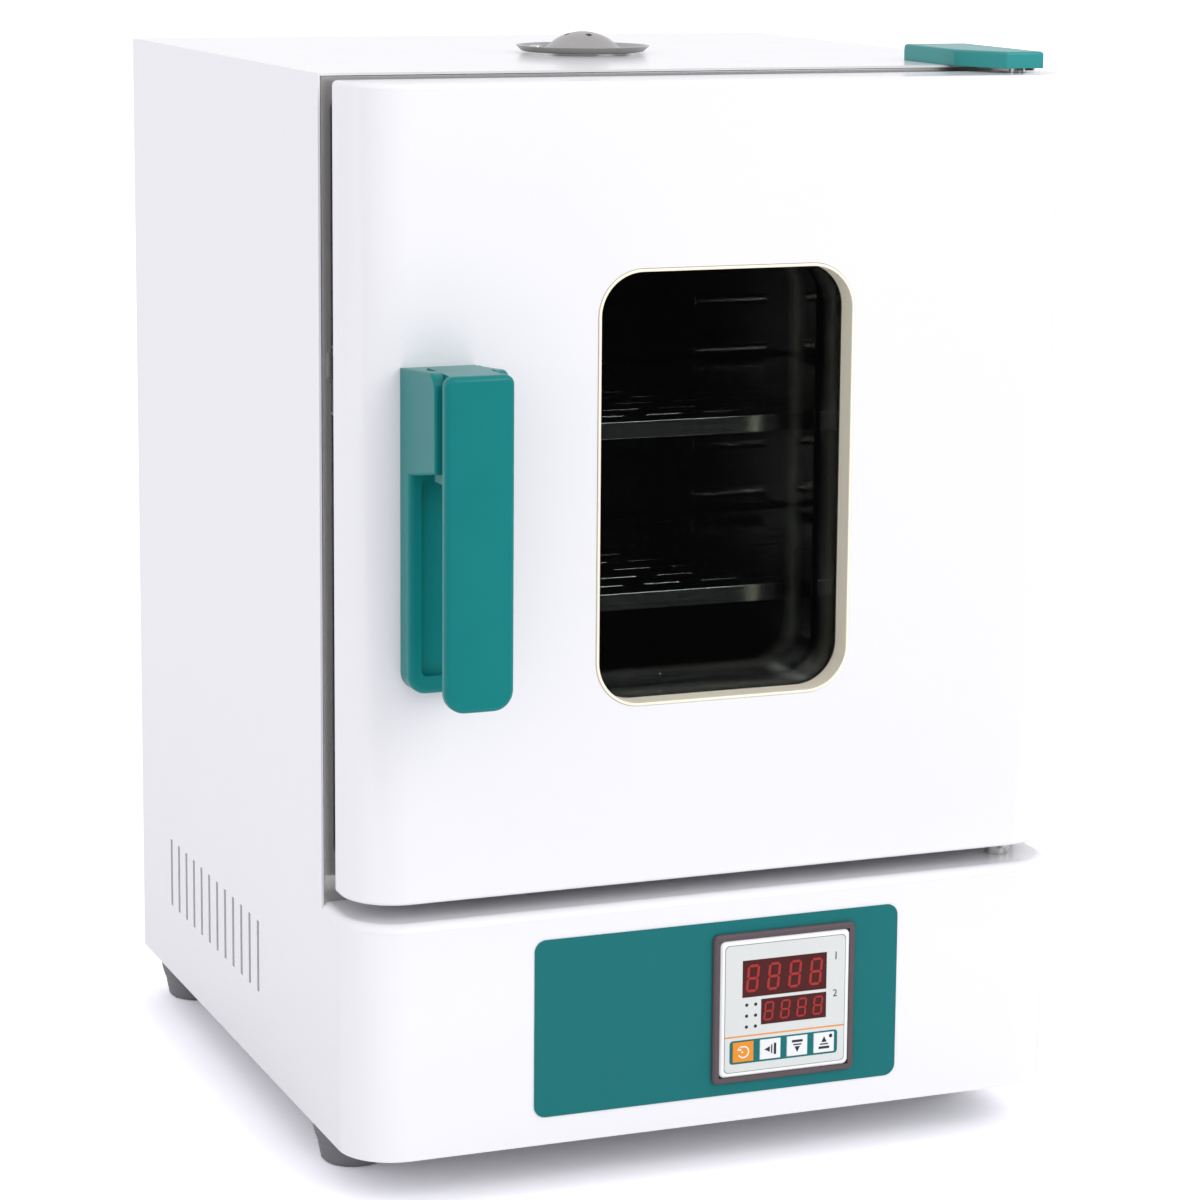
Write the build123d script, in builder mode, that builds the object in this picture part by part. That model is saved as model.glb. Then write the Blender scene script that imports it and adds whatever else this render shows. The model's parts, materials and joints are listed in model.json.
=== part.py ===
from build123d import *
from math import cos, radians, sin, sqrt
import os

# Forced-air drying oven, table-top, 25 litre class.
# Millimetres. X runs across the oven to the right, Y from the front to the rear, Z up.
# The origin is on the surface that the feet stand on, in the middle of the overall width and depth.

# Folded steel casing
casing_width = 390
casing_height = 534
body_depth = 357
sheet = 1.2
fascia_height = 121
fascia_reach = 55
corner_radius = 28
ledge_radius = 5
rear_flange = 14

# Side vents of the lower compartment
side_slot_count = 12
side_slot_pitch = 16
side_slot_width = 4
side_slot_height = 39
side_slot_first = 115
side_slot_foot = 41

# Feet
foot_height = 26
foot_top_radius = 22
foot_sole_radius = 17
foot_side_inset = 26
foot_front_inset = 30.5
foot_rear_inset = 25
foot_screw_head = 9
foot_recess_depth = 14
foot_waist_radius = 18.6
foot_sole_edge = 1.5
foot_groove_level = 0.37
foot_groove_depth = 0.5
foot_groove_step = 0.6
foot_flare_start = 0.3
foot_flare_level = 0.7
foot_flare_bulge = 0.9
foot_nut_height = 3.2

# Door
door_inset = 1.9
door_thickness = 41
door_gap = 11
ledge_gap = 9
door_top_gap = 2.4
door_edge_radius = 2.5
door_back_radius = 6
door_flange = 11
inner_panel_sheet = 1
inner_panel_margin = 8

# Window in the door
window_width = 138
window_height = 219
window_radius = 23.5
gasket_wall = 1.5
gasket_proud = 0.6
pane_setback = 12.5
pane_thickness = 4
pane_overlap = 4
inner_window_width = 131
inner_window_height = 216
inner_window_radius = 20
spacer_wall = 1

# Chamber
side_wall = 40
motor_space = 49.6
chamber_height = 320
chamber_radius = 22
chamber_floor = 173
liner_sheet = 1
duct_depth = 37
floor_insulation = 40
rear_insulation = 40
frame_return = 12
frame_skirt = 24
divider_flange = 15

# Door seal
seal_offset = 3
seal_width = 8
seal_rounding = 2.5

# Air guide, the louvred plate in front of the fan
guide_sheet = 0.8
inlet_radius = 50
inlet_slot_pitch = 10
inlet_slot_height = 4
louvre_length = 44
louvre_height = 7
louvre_pitch = 28
louvre_count = 9
louvre_inset = 34
louvre_stand = 6
ledge_end_gap = 2
ledge_setback = 8

# Fan, motor and heater
impeller_radius = 60
impeller_width = 20
impeller_gap = 4
blade_count = 10
blade_thickness = 1
blade_sweep = 34
blade_root_share = 1.8
blade_bend_share = 0.66
blade_bend_turn = 0.36
blade_tip_margin = 1
impeller_plate = 1.2
hub_length = 16
hub_radius = 11
shaft_radius = 4
shaft_hole_gap = 2
shaft_in_motor = 12
motor_radius = 31
motor_length = 42
motor_edge = 3
motor_boss = 4
bracket_width = 110
bracket_height = 96
bracket_sheet = 2
bracket_radius = 6
stud_radius = 3
stud_inset = 8
heater_radius = 84
heater_tube = 8
heater_bend = 12
heater_gap_angle = 17
heater_tail = 14

# Probe and over-temperature thermostat
probe_radius = 2.5
probe_tip_share = 0.8
probe_reach = 30
probe_offset = 105
probe_rise = 98
thermostat_radius = 8
thermostat_height = 9
thermostat_offset = -84
thermostat_rise = 70
tab_size = (1, 6.3)
tab_length = 8

# Shelves and their rails
shelf_sheet = 1
shelf_setback = 12
shelf_back_gap = 11
shelf_lip = 9
shelf_lip_gap = 1.5
shelf_side_gap = 2
upper_shelf_rise = 182
lower_shelf_rise = 93
perforation_length = 20
perforation_width = 4
perforation_pitch_x = 32
perforation_pitch_y = 21
perforation_margin_x = 13
perforation_margin_y = 16
rail_strip_width = 22
rail_strip_height = 270
rail_sheet = 1.2
rail_ledge = 12
rail_front = 22
rail_rear = 56
rail_notch_pitch = 18
rail_notch_width = 12
rail_notch_height = 4

# Top vent
vent_from_mouth = 150
pipe_radius = 12
pipe_wall = 1
neck_length = 8
vent_base_radius = 31
vent_base_sheet = 1
vent_cap_radius = 36
vent_cap_sheet = 1
vent_rim_height = 3
vent_rim_flare = 3
dome_radius = 20.5
dome_height = 9.5
vent_port_radius = 2.4
vent_port_circle = 6.2
vent_port_count = 4
vent_pivot_radius = 1.8
vent_pivot_head = 3.4
pivot_head_height = 1.2
vent_stud_circle = 27
vent_stud_radius = 3.2
vent_stud_height = 2.2
vent_stud_rounding = 0.9
dome_hole_radius = 1.6
dome_hole_circle = 9

# Door hinge
hinge_from_edge = 25
hinge_from_mouth = 30
hinge_pin_radius = 4
hinge_pin_engagement = 14
hinge_collar_radius = 6.5
pin_hole_gap = 1
bush_radius = 7
bush_length = 18
bracket_plate = 3
bracket_tongue_radius = 6.2
bracket_foot_width = 28
bracket_foot_length = 42
bracket_foot_start = 2
pin_stub_radius = 3.2
pin_rivet_height = 1.2
pin_nut_radius = 7
pin_nut_height = 4
cover_width = 36
cover_right = 11
cover_front = 38
cover_rear = 50
cover_height = 8.5
cover_chamfer_width = 15
cover_chamfer_depth = 30
cover_wall = 1.5
cover_edge_radius = 1.5

# Lever handle
handle_from_edge = 22.5
handle_width = 38
handle_height = 157.5
handle_rise = 109
handle_plate = 14
handle_end_radius = 9
handle_edge_radius = 3
handle_recess_width = 26
handle_recess_depth = 4
handle_recess_margin = 9
cheek_reach = 51
cheek_height = 52.5
cheek_top_lift = 4
cheek_foot_lift = 8.6
cheek_wall = 5.5
cheek_top_radius = 8
cheek_foot_radius = 10
cheek_edge_radius = 1.5
pivot_reach = 36
pivot_drop = 12.5
pivot_pin_radius = 2.5
lever_eye_radius = 19.9
lever_width = 34.5
lever_gap = 5.5
lever_thickness = 6.5
lever_corner_radius = 10
lever_crown = 1.2
lever_edge_radius = 3
lever_rise = 3.5
lever_foot_lift = 0.5
lever_top_radius = 5
lever_block_gap = 2.5
lever_block_lift = 3
lever_block_rear = 2
lever_clearance = 0.5
pin_bite = 3.5
lever_channel_depth = 2
lever_channel_margin = 6

# Latch behind the door
latch_plate = 3
latch_crank_inset = 28
latch_tip_gap = 2.5
latch_eye_radius = 9
latch_bar_height = 8
cross_bar_depth = 6
striker_pin_radius = 2.5
striker_seal_gap = 1.6
striker_side_gap = 5
striker_height = 36
striker_sheet = 1.5
striker_clearance = 0.5
striker_reach = 9.3
striker_pin_setback = 6
striker_ear_height = 13
striker_ear_radius = 3

# Slots that the latch arm moves in, by their reach below and above the lever's axis
arm_slot_foot = 16
arm_slot_head = 7
blade_slot_foot = 26
latch_side_gap = 2
tunnel_gap = 2
pocket_gap = 4

# Control panel
label_width = 200
label_height = 92
label_radius = 6
label_sheet = 0.6
label_rise = 60.5
label_offset = -1.6
controller_size = 72
controller_offset = 34
controller_cutout = 68
controller_case = 67
controller_case_depth = 76
bezel_proud = 3
surround_size = 79
surround_thickness = 2.6
bezel_chamfer = 1
display_upper = (47.5, 20)
display_upper_place = (-0.5, 15.4)
display_lower = (37, 14)
display_lower_place = (4.8, -2.8)
display_depth = 1
key_strip = (60.5, 12.5)
key_strip_drop = 23
key_strip_depth = 0.4
key_strip_radius = 1
key_size = (11.6, 10.6)
key_pitch = 15.1
key_count = 4
key_proud = 0.8
key_length = 3
key_travel = 0.5

# Rear fittings
panel_sheet = 1.2
panel_margin = 1
side_screw_rows = 5
screw_low_rise = 22
fitting_rise = 46
inlet_offset = 120
inlet_flange = (50, 25)
inlet_flange_height = 2.5
inlet_body = (28, 20)
inlet_socket = (24.4, 16.4)
inlet_socket_depth = 15
inlet_body_depth = 22
inlet_pin = (2, 4.2)
inlet_pin_pitch = 7
inlet_pin_length = 12
inlet_pin_stagger = 4
inlet_pin_rise = 0.6
inlet_key = 4
rocker_offset = 66
rocker_flange = (31, 25)
rocker_flange_height = 2
rocker_body = (27, 21)
rocker_body_depth = 20
rocker_half_length = 11.7
rocker_height = 17.4
rocker_tilt = 8
rocker_sink = 1.5
rocker_valley = 1.7
rocker_crest = 3.9
rocker_axle_radius = 1.5
rocker_axle_reach = 1.2
fuse_offset = 26
fuse_flange_radius = 9
fuse_cap_radius = 7.5
fuse_cap_reach = 9
fuse_cap_chamfer = 1
fuse_flange_height = 2
fuse_slot = (11, 1.8)
fuse_slot_depth = 1.5
fuse_body_radius = 6
fuse_body_depth = 26
motor_vent_count = 9
motor_vent_pitch = 8
motor_vent_size = (70, 3)

# Parts on the base plate
sink_size = (70, 60)
sink_base = 4
sink_fin_height = 18
sink_fin_count = 7
sink_fin_thickness = 1.6
relay_size = (45, 58, 23)
relay_offset = -110
relay_back = 110
terminal_size = (66, 24)
terminal_height = 17
terminal_offset = 110
terminal_back = 95
terminal_ways = 6
terminal_step = 5
terminal_screw_radius = 3.4
terminal_mouth = (7, 6)
terminal_mouth_depth = 8
relay_step_length = 14
relay_step_drop = 9
relay_screw_radius = 4
relay_screw_height = 3
relay_screw_pitch = 24

# Screws
screw_radius = 2
screw_head_radius = 4
screw_head_height = 2
screw_length = 8

# Clearances
fit = 0.2
running = 0.3
pin_clearance = 0.08

# Places worked out from the sizes
lever_back = cheek_reach + lever_gap
handle_reach = lever_back + lever_thickness
chamber_width = casing_width - 2 * side_wall
chamber_depth = (
    body_depth - panel_sheet - motor_space - rear_insulation - fit - liner_sheet - duct_depth
)
shelf_depth = chamber_depth - shelf_setback - shelf_back_gap
rail_spacing = chamber_depth - rail_front - rail_strip_width - rail_rear
overall_depth = body_depth + door_gap + door_thickness + handle_reach + fuse_cap_reach
y_mouth = overall_depth / 2 - fuse_cap_reach - body_depth
y_rear = y_mouth + body_depth
y_casing_back = y_rear - panel_sheet
y_fascia = y_mouth - fascia_reach
y_door_back = y_mouth - door_gap
y_door_front = y_door_back - door_thickness
y_door_flange = y_door_back - inner_panel_sheet

z_base = foot_height
z_ledge = z_base + fascia_height
z_top = z_base + casing_height
z_door_bottom = z_ledge + ledge_gap
z_door_top = z_top - door_top_gap
door_width = casing_width - 2 * door_inset
door_height = z_door_top - z_door_bottom
z_door_middle = (z_door_bottom + z_door_top) / 2

z_floor = z_base + chamber_floor
z_chamber_middle = z_floor + chamber_height / 2
z_ceiling = z_floor + chamber_height
y_guide = y_mouth + chamber_depth
y_liner_inside = y_guide + duct_depth
y_liner_back = y_liner_inside + liner_sheet
y_insulation_back = y_liner_back + fit + rear_insulation
y_motor = y_insulation_back + fit + bracket_sheet
liner_width = chamber_width + 2 * liner_sheet
liner_height = chamber_height + 2 * liner_sheet
liner_radius = chamber_radius + liner_sheet
inner_width = casing_width - 2 * sheet
z_divider = z_floor - liner_sheet - fit - floor_insulation - fit

x_hinge = casing_width / 2 - door_inset - hinge_from_edge
y_hinge = y_mouth - hinge_from_mouth
x_handle = -casing_width / 2 + door_inset + handle_from_edge + handle_width / 2
z_handle_bottom = z_door_bottom + handle_rise
z_handle_top = z_handle_bottom + handle_height
y_pivot = y_door_front - pivot_reach
z_pivot = z_handle_top - pivot_drop
striker_outer = casing_width / 2 - sheet - fit - striker_side_gap
striker_inner = chamber_width / 2 + seal_offset + seal_width + striker_seal_gap
striker_width = striker_outer - striker_inner
x_latch = -(striker_outer + striker_inner) / 2
y_crank = y_door_front + latch_crank_inset
pin_half_length = handle_width / 2 - cheek_wall + pin_bite

# The panel's screws, up both sides and along the top
x_screw = casing_width / 2 - rear_flange / 2
z_screw_low = z_base + screw_low_rise
z_screw_high = z_top - rear_flange / 2
rear_screw_places = [
    (side * x_screw, z_screw_low + row * (z_screw_high - z_screw_low) / (side_screw_rows - 1))
    for side in (-1, 1)
    for row in range(side_screw_rows)
] + [(0, z_screw_high)]
gap_sine = sin(radians(heater_gap_angle))
gap_cosine = cos(radians(heater_gap_angle))
heater_leg_offset = heater_radius * gap_sine - heater_bend * gap_cosine
heater_leg_drop = heater_radius * gap_cosine + heater_bend * gap_sine
heater_leg_places = [
    (side * heater_leg_offset, z_chamber_middle - heater_leg_drop) for side in (-1, 1)
]
foot_places = [
    (side * (casing_width / 2 - foot_side_inset), y)
    for y in (y_mouth + foot_front_inset, y_rear - foot_rear_inset)
    for side in (-1, 1)
]
stud_places = [
    (x, z_chamber_middle + z)
    for x in (stud_inset - bracket_width / 2, bracket_width / 2 - stud_inset)
    for z in (stud_inset - bracket_height / 2, bracket_height / 2 - stud_inset)
]


def across(y):
    """Upright plane at depth y. Sketch x runs right, sketch y up; it extrudes towards the front."""
    return Plane.XZ.offset(-y)


def along(x):
    """Upright plane at x. Sketch x runs to the rear, sketch y up; it extrudes to the right."""
    return Plane.YZ.offset(x)


def standing(x, y):
    """Upright plane through a vertical axis. Sketch x is the radius, sketch y the height."""
    return Plane(origin=(x, y, 0), x_dir=(1, 0, 0), z_dir=(0, -1, 0))


def save(piece, node):
    """Name a finished piece and write it to its own file."""
    piece.part.label = node
    export_step(piece.part, f"parts/{node}.step")


os.makedirs("parts", exist_ok=True)


def fascia_form(inset):
    """The lower block in front of the side panels, drawn in by inset all round, with its rounded ledge."""
    top = fascia_height - inset
    with BuildPart() as form:
        with BuildSketch(Plane.XY.offset(z_base)) as plan:
            with Locations((0, (y_fascia + inset + y_mouth) / 2)):
                Rectangle(casing_width - 2 * inset, fascia_reach - inset)
            fillet(plan.vertices().group_by(Axis.Y)[0], corner_radius - inset)
        extrude(amount=top)
        rim = form.edges().filter_by_position(Axis.Z, z_base + top, z_base + top)
        fillet(rim.filter_by_position(Axis.Y, y_fascia, y_mouth - 1), ledge_radius - inset)
    return form.part


# Outer casing: sides and top in one folding with the lower fascia and its ledge
fascia_block = fascia_form(0)
fascia_hollow = fascia_form(sheet)
with BuildPart() as outer_casing:
    with BuildSketch(Plane.XY.offset(z_base)):
        with Locations((0, (y_mouth + y_casing_back) / 2)):
            Rectangle(casing_width, y_casing_back - y_mouth)
    extrude(amount=casing_height)
    add(fascia_block)
    with BuildSketch(Plane.XY.offset(z_base)):
        with Locations((0, (y_mouth + y_casing_back - sheet) / 2)):
            Rectangle(inner_width, y_casing_back - sheet - y_mouth)
    extrude(amount=casing_height - sheet, mode=Mode.SUBTRACT)
    add(fascia_hollow, mode=Mode.SUBTRACT)
    with BuildSketch(across(y_casing_back)):
        with Locations((0, z_base + (casing_height - rear_flange) / 2)):
            Rectangle(casing_width - 2 * rear_flange, casing_height - rear_flange)
    extrude(amount=2 * sheet, mode=Mode.SUBTRACT)
    with BuildSketch(across(y_casing_back)):
        with Locations(*rear_screw_places):
            Circle(screw_radius + fit)
    extrude(amount=2 * sheet, mode=Mode.SUBTRACT)
    with BuildSketch(along(0)):
        with Locations((
            y_mouth + side_slot_first + side_slot_pitch * (side_slot_count - 1) / 2,
            z_base + side_slot_foot + side_slot_height / 2,
        )):
            with GridLocations(side_slot_pitch, side_slot_height, side_slot_count, 1):
                Rectangle(side_slot_width, side_slot_height)
    extrude(amount=casing_width, both=True, mode=Mode.SUBTRACT)
    with BuildSketch(across(y_fascia)):
        with Locations((controller_offset, z_base + label_rise)):
            Rectangle(controller_cutout, controller_cutout)
    extrude(amount=-2 * sheet, mode=Mode.SUBTRACT)
    with BuildSketch(Plane.XY.offset(z_top)):
        with Locations((0, y_mouth + vent_from_mouth)):
            Circle(pipe_radius + fit)
    extrude(amount=-2 * sheet, mode=Mode.SUBTRACT)
    with BuildSketch(Plane.XY.offset(z_ledge)):
        with Locations((x_hinge, y_hinge)):
            Circle(hinge_pin_radius + fit)
    extrude(amount=-2 * sheet, mode=Mode.SUBTRACT)
save(outer_casing, "outer_casing")

# Front frame: the flanged plate round the mouth of the chamber
frame_width = inner_width - 2 * fit
z_frame_foot = z_ledge - frame_skirt
z_frame_head = z_top - sheet - fit
with BuildPart() as front_frame:
    with BuildSketch(across(y_mouth)):
        with Locations((0, (z_frame_foot + z_frame_head) / 2)):
            Rectangle(frame_width, z_frame_head - z_frame_foot)
    extrude(amount=-frame_return)
    with BuildSketch(across(y_mouth + sheet)):
        with Locations((0, (z_frame_foot + z_frame_head) / 2)):
            Rectangle(frame_width - 2 * sheet, z_frame_head - z_frame_foot - 2 * sheet)
    extrude(amount=-frame_return, mode=Mode.SUBTRACT)
    with BuildSketch(across(y_mouth)):
        with Locations((0, z_chamber_middle)):
            RectangleRounded(liner_width + 2 * fit, liner_height + 2 * fit, liner_radius + fit)
    extrude(amount=-frame_return, mode=Mode.SUBTRACT)
save(front_frame, "front_frame")

# Chamber liner: stainless box with rounded corners, open at the front
with BuildPart() as chamber_liner:
    with BuildSketch(across(y_mouth)):
        with Locations((0, z_chamber_middle)):
            RectangleRounded(liner_width, liner_height, liner_radius)
    extrude(amount=-(y_liner_back - y_mouth))
    with BuildSketch(across(y_mouth)):
        with Locations((0, z_chamber_middle)):
            RectangleRounded(chamber_width, chamber_height, chamber_radius)
    extrude(amount=-(y_liner_inside - y_mouth), mode=Mode.SUBTRACT)
    with BuildSketch(across(y_liner_back)):
        with Locations((0, z_chamber_middle)):
            Circle(shaft_radius + shaft_hole_gap)
        with Locations((probe_offset, z_chamber_middle + probe_rise)):
            Circle(probe_radius + fit)
        with Locations(*heater_leg_places):
            Circle(heater_tube / 2 + fit)
    extrude(amount=2 * liner_sheet, mode=Mode.SUBTRACT)
    with BuildSketch(Plane.XY.offset(z_ceiling)):
        with Locations((0, y_mouth + vent_from_mouth)):
            Circle(pipe_radius + fit)
    extrude(amount=2 * liner_sheet, mode=Mode.SUBTRACT)
save(chamber_liner, "chamber_liner")

# Rear panel with motor vents and the openings for inlet, switch and fuse
z_fitting = z_base + fitting_rise
with BuildPart() as rear_panel:
    with BuildSketch(across(y_rear)):
        with Locations((0, (z_base + z_top) / 2)):
            Rectangle(casing_width - 2 * panel_margin, casing_height - 2 * panel_margin)
        with Locations((0, z_chamber_middle)):
            with GridLocations(motor_vent_size[0], motor_vent_pitch, 1, motor_vent_count):
                Rectangle(*motor_vent_size, mode=Mode.SUBTRACT)
        with Locations((inlet_offset, z_fitting)):
            Rectangle(inlet_body[0] + 2 * fit, inlet_body[1] + 2 * fit, mode=Mode.SUBTRACT)
        with Locations((rocker_offset, z_fitting)):
            Rectangle(rocker_body[0] + 2 * fit, rocker_body[1] + 2 * fit, mode=Mode.SUBTRACT)
        with Locations((fuse_offset, z_fitting)):
            Circle(fuse_body_radius + fit, mode=Mode.SUBTRACT)
        with Locations(*rear_screw_places):
            Circle(screw_radius + fit, mode=Mode.SUBTRACT)
    extrude(amount=panel_sheet)
save(rear_panel, "rear_panel")

# Screws of the rear panel: domed heads on the panel, shanks through the casing's flange
with BuildPart() as rear_panel_screws:
    with BuildSketch(across(y_rear)):
        with Locations(*rear_screw_places):
            Circle(screw_head_radius)
    extrude(amount=-screw_head_height, taper=20)
    with BuildSketch(across(y_rear)):
        with Locations(*rear_screw_places):
            Circle(screw_radius)
    extrude(amount=screw_length)
save(rear_panel_screws, "rear_panel_screws")

# Base plate inside the foot of the casing
with BuildPart() as base_plate:
    with BuildSketch(Plane.XY.offset(z_base)) as base_plan:
        y_plate_front = y_fascia + sheet + fit
        y_plate_back = y_casing_back - sheet - fit
        with Locations((0, (y_plate_front + y_plate_back) / 2)):
            Rectangle(inner_width - 2 * fit, y_plate_back - y_plate_front)
        fillet(base_plan.vertices().group_by(Axis.Y)[0], corner_radius - sheet - fit)
        with Locations(*foot_places):
            Circle(screw_radius + 2 * fit, mode=Mode.SUBTRACT)
    extrude(amount=sheet)
save(base_plate, "base_plate")

# Four rubber feet: a flared upper part, a groove and a tapering sole with a screw recess
foot_groove_height = foot_height * foot_groove_level
foot_flare_foot = (
    foot_waist_radius + foot_flare_start,
    foot_groove_height + 2 * foot_groove_step,
)
with BuildPart() as feet:
    for x, y in foot_places:
        with BuildSketch(standing(x, y)):
            with BuildLine():
                Polyline(
                    (foot_screw_head / 2, 0),
                    (foot_sole_radius - foot_sole_edge, 0),
                    (foot_sole_radius, foot_sole_edge),
                    (foot_waist_radius, foot_groove_height),
                    (foot_waist_radius - foot_groove_depth, foot_groove_height + foot_groove_step),
                    foot_flare_foot,
                )
                ThreePointArc(
                    foot_flare_foot,
                    (foot_top_radius - foot_flare_bulge, foot_height * foot_flare_level),
                    (foot_top_radius, foot_height),
                )
                Polyline(
                    (foot_top_radius, foot_height),
                    (screw_radius + fit, foot_height),
                    (screw_radius + fit, foot_recess_depth),
                    (foot_screw_head / 2, foot_recess_depth),
                    (foot_screw_head / 2, 0),
                )
            make_face()
        revolve(axis=Axis((x, y, 0), (0, 0, 1)))
save(feet, "feet")

# Screws of the feet, with the nuts on top of the base plate
with BuildPart() as foot_screws:
    with BuildSketch(Plane.XY.offset(foot_recess_depth)):
        with Locations(*foot_places):
            Circle(screw_head_radius)
    extrude(amount=-screw_head_height)
    with BuildSketch(Plane.XY.offset(foot_recess_depth)):
        with Locations(*foot_places):
            Circle(screw_radius)
    extrude(amount=z_base + sheet + foot_nut_height + 1 - foot_recess_depth)
    with BuildSketch(Plane.XY.offset(z_base + sheet)):
        with Locations(*foot_places):
            RegularPolygon(screw_head_radius, 6)
    extrude(amount=foot_nut_height)
save(foot_screws, "foot_screws")

# Divider plate between the chamber's insulation and the compartment below
y_divider_front = y_mouth + frame_return + fit
with BuildPart() as divider_plate:
    with BuildSketch(Plane.XY.offset(z_divider)):
        with Locations((0, (y_divider_front + y_insulation_back) / 2)):
            Rectangle(inner_width - 2 * fit, y_insulation_back - y_divider_front)
    extrude(amount=-divider_flange)
    with BuildSketch(Plane.XY.offset(z_divider - sheet)):
        with Locations((0, (y_divider_front + y_insulation_back) / 2)):
            Rectangle(inner_width - 2 * fit - 2 * sheet, y_insulation_back - y_divider_front)
    extrude(amount=-divider_flange, mode=Mode.SUBTRACT)
save(divider_plate, "divider_plate")

# Insulation wrapped round the liner, with passages for all that goes through it
with BuildPart() as insulation:
    z_wool_foot = z_divider + fit
    z_wool_head = z_frame_head - sheet - fit
    with BuildSketch(across(y_mouth + sheet + fit)):
        with Locations((0, (z_wool_foot + z_wool_head) / 2)):
            Rectangle(frame_width - 2 * sheet - 2 * fit, z_wool_head - z_wool_foot)
    extrude(amount=-(y_insulation_back - y_mouth - sheet - fit))
    with BuildSketch(across(y_mouth)):
        with Locations((0, z_chamber_middle)):
            RectangleRounded(liner_width + 2 * fit, liner_height + 2 * fit, liner_radius + fit)
    extrude(amount=-(y_liner_back + fit - y_mouth), mode=Mode.SUBTRACT)
    with BuildSketch(across(y_insulation_back)):
        with Locations((0, z_chamber_middle)):
            Circle(hub_radius)
        with Locations((probe_offset, z_chamber_middle + probe_rise)):
            Circle(probe_radius + fit)
        with Locations((thermostat_offset, z_chamber_middle + thermostat_rise)):
            Circle(thermostat_radius + fit)
        with Locations(*stud_places):
            Circle(stud_radius + fit)
        with Locations(*heater_leg_places):
            Circle(heater_tube / 2 + fit)
    extrude(amount=rear_insulation + 2 * fit, mode=Mode.SUBTRACT)
    with BuildSketch(Plane.XY.offset(z_ceiling)):
        with Locations((0, y_mouth + vent_from_mouth)):
            Circle(pipe_radius + fit)
    extrude(amount=z_top - z_ceiling, mode=Mode.SUBTRACT)
save(insulation, "insulation")

# Air guide: a tray in front of the fan, with a slotted inlet and two columns of louvres
louvre_x = chamber_width / 2 - louvre_inset
louvre_places = [
    z_chamber_middle + (row - (louvre_count - 1) / 2) * louvre_pitch for row in range(louvre_count)
]
louvre_slant = sqrt(louvre_stand**2 + louvre_height**2)
hood_top = louvre_height / 2
hood_shift = louvre_height * guide_sheet / louvre_slant
hood_drop = louvre_stand * guide_sheet / louvre_slant
hood_start = (hood_shift - guide_sheet) / louvre_stand
hood_end = 1 - hood_drop / louvre_height
with BuildPart() as air_guide:
    with BuildSketch(across(y_guide)):
        with Locations((0, z_chamber_middle)):
            RectangleRounded(chamber_width - 2 * fit, chamber_height - 2 * fit, chamber_radius - fit)
    extrude(amount=-duct_depth)
    with BuildSketch(across(y_guide + guide_sheet)):
        with Locations((0, z_chamber_middle)):
            RectangleRounded(
                chamber_width - 2 * fit - 2 * guide_sheet,
                chamber_height - 2 * fit - 2 * guide_sheet,
                chamber_radius - fit - guide_sheet,
            )
    extrude(amount=-duct_depth, mode=Mode.SUBTRACT)
    slot_rows = int(inlet_radius / inlet_slot_pitch)
    with BuildSketch(across(y_guide)):
        for row in range(-slot_rows + 1, slot_rows):
            rise = row * inlet_slot_pitch
            half_chord = sqrt(inlet_radius**2 - rise**2)
            slot_length = half_chord - inlet_slot_height / 2
            for side in (-1, 1):
                with Locations((side * (half_chord + inlet_slot_height / 2) / 2, z_chamber_middle + rise)):
                    Rectangle(slot_length, inlet_slot_height)
        with Locations((probe_offset, z_chamber_middle + probe_rise)):
            Circle(probe_radius + fit)
    extrude(amount=-2 * guide_sheet, mode=Mode.SUBTRACT)
    for side in (-1, 1):
        with BuildSketch(along(side * louvre_x - louvre_length / 2)):
            for z in louvre_places:
                with Locations((y_guide, z)):
                    Polygon(
                        (0, hood_top),
                        (-louvre_stand, -hood_top),
                        (0, -hood_top),
                        align=None,
                    )
        extrude(amount=louvre_length)
        with BuildSketch(along(side * louvre_x - louvre_length / 2 + guide_sheet)):
            for z in louvre_places:
                with Locations((y_guide, z)):
                    Polygon(
                        (guide_sheet, hood_top - hood_drop - hood_start * louvre_height),
                        (hood_shift - hood_end * louvre_stand, -hood_top),
                        (guide_sheet, -hood_top),
                        align=None,
                    )
        extrude(amount=louvre_length - 2 * guide_sheet, mode=Mode.SUBTRACT)
save(air_guide, "air_guide")


def blade_point(radius, angle):
    """A point of a fan blade, by its distance and direction from the shaft."""
    return (radius * cos(radians(angle)), z_chamber_middle + radius * sin(radians(angle)))


# Fan impeller: back plate, hub and backward-curved blades
y_impeller_back = y_liner_inside - impeller_gap
with BuildPart() as fan_impeller:
    with BuildSketch(across(y_impeller_back)):
        with Locations((0, z_chamber_middle)):
            Circle(impeller_radius)
    extrude(amount=impeller_plate)
    with BuildSketch(across(y_impeller_back)):
        with Locations((0, z_chamber_middle)):
            Circle(hub_radius)
    extrude(amount=hub_length)
    with BuildSketch(across(y_impeller_back - impeller_plate)):
        for blade in range(blade_count):
            turn = 360 * blade / blade_count
            with BuildLine():
                ThreePointArc(
                    blade_point(hub_radius * blade_root_share, turn),
                    blade_point(
                        impeller_radius * blade_bend_share,
                        turn + blade_sweep * blade_bend_turn,
                    ),
                    blade_point(impeller_radius - blade_tip_margin, turn + blade_sweep),
                )
        trace(line_width=blade_thickness)
    extrude(amount=impeller_width)
    with BuildSketch(across(y_impeller_back)):
        with Locations((0, z_chamber_middle)):
            Circle(shaft_radius + pin_clearance)
    extrude(amount=hub_length, mode=Mode.SUBTRACT)
save(fan_impeller, "fan_impeller")

# Fan shaft, from the front of the hub into the motor
with BuildPart() as fan_shaft:
    with BuildSketch(across(y_motor + shaft_in_motor)):
        with Locations((0, z_chamber_middle)):
            Circle(shaft_radius)
    extrude(amount=y_motor + shaft_in_motor - y_impeller_back + hub_length + 1)
save(fan_shaft, "fan_shaft")

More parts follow.
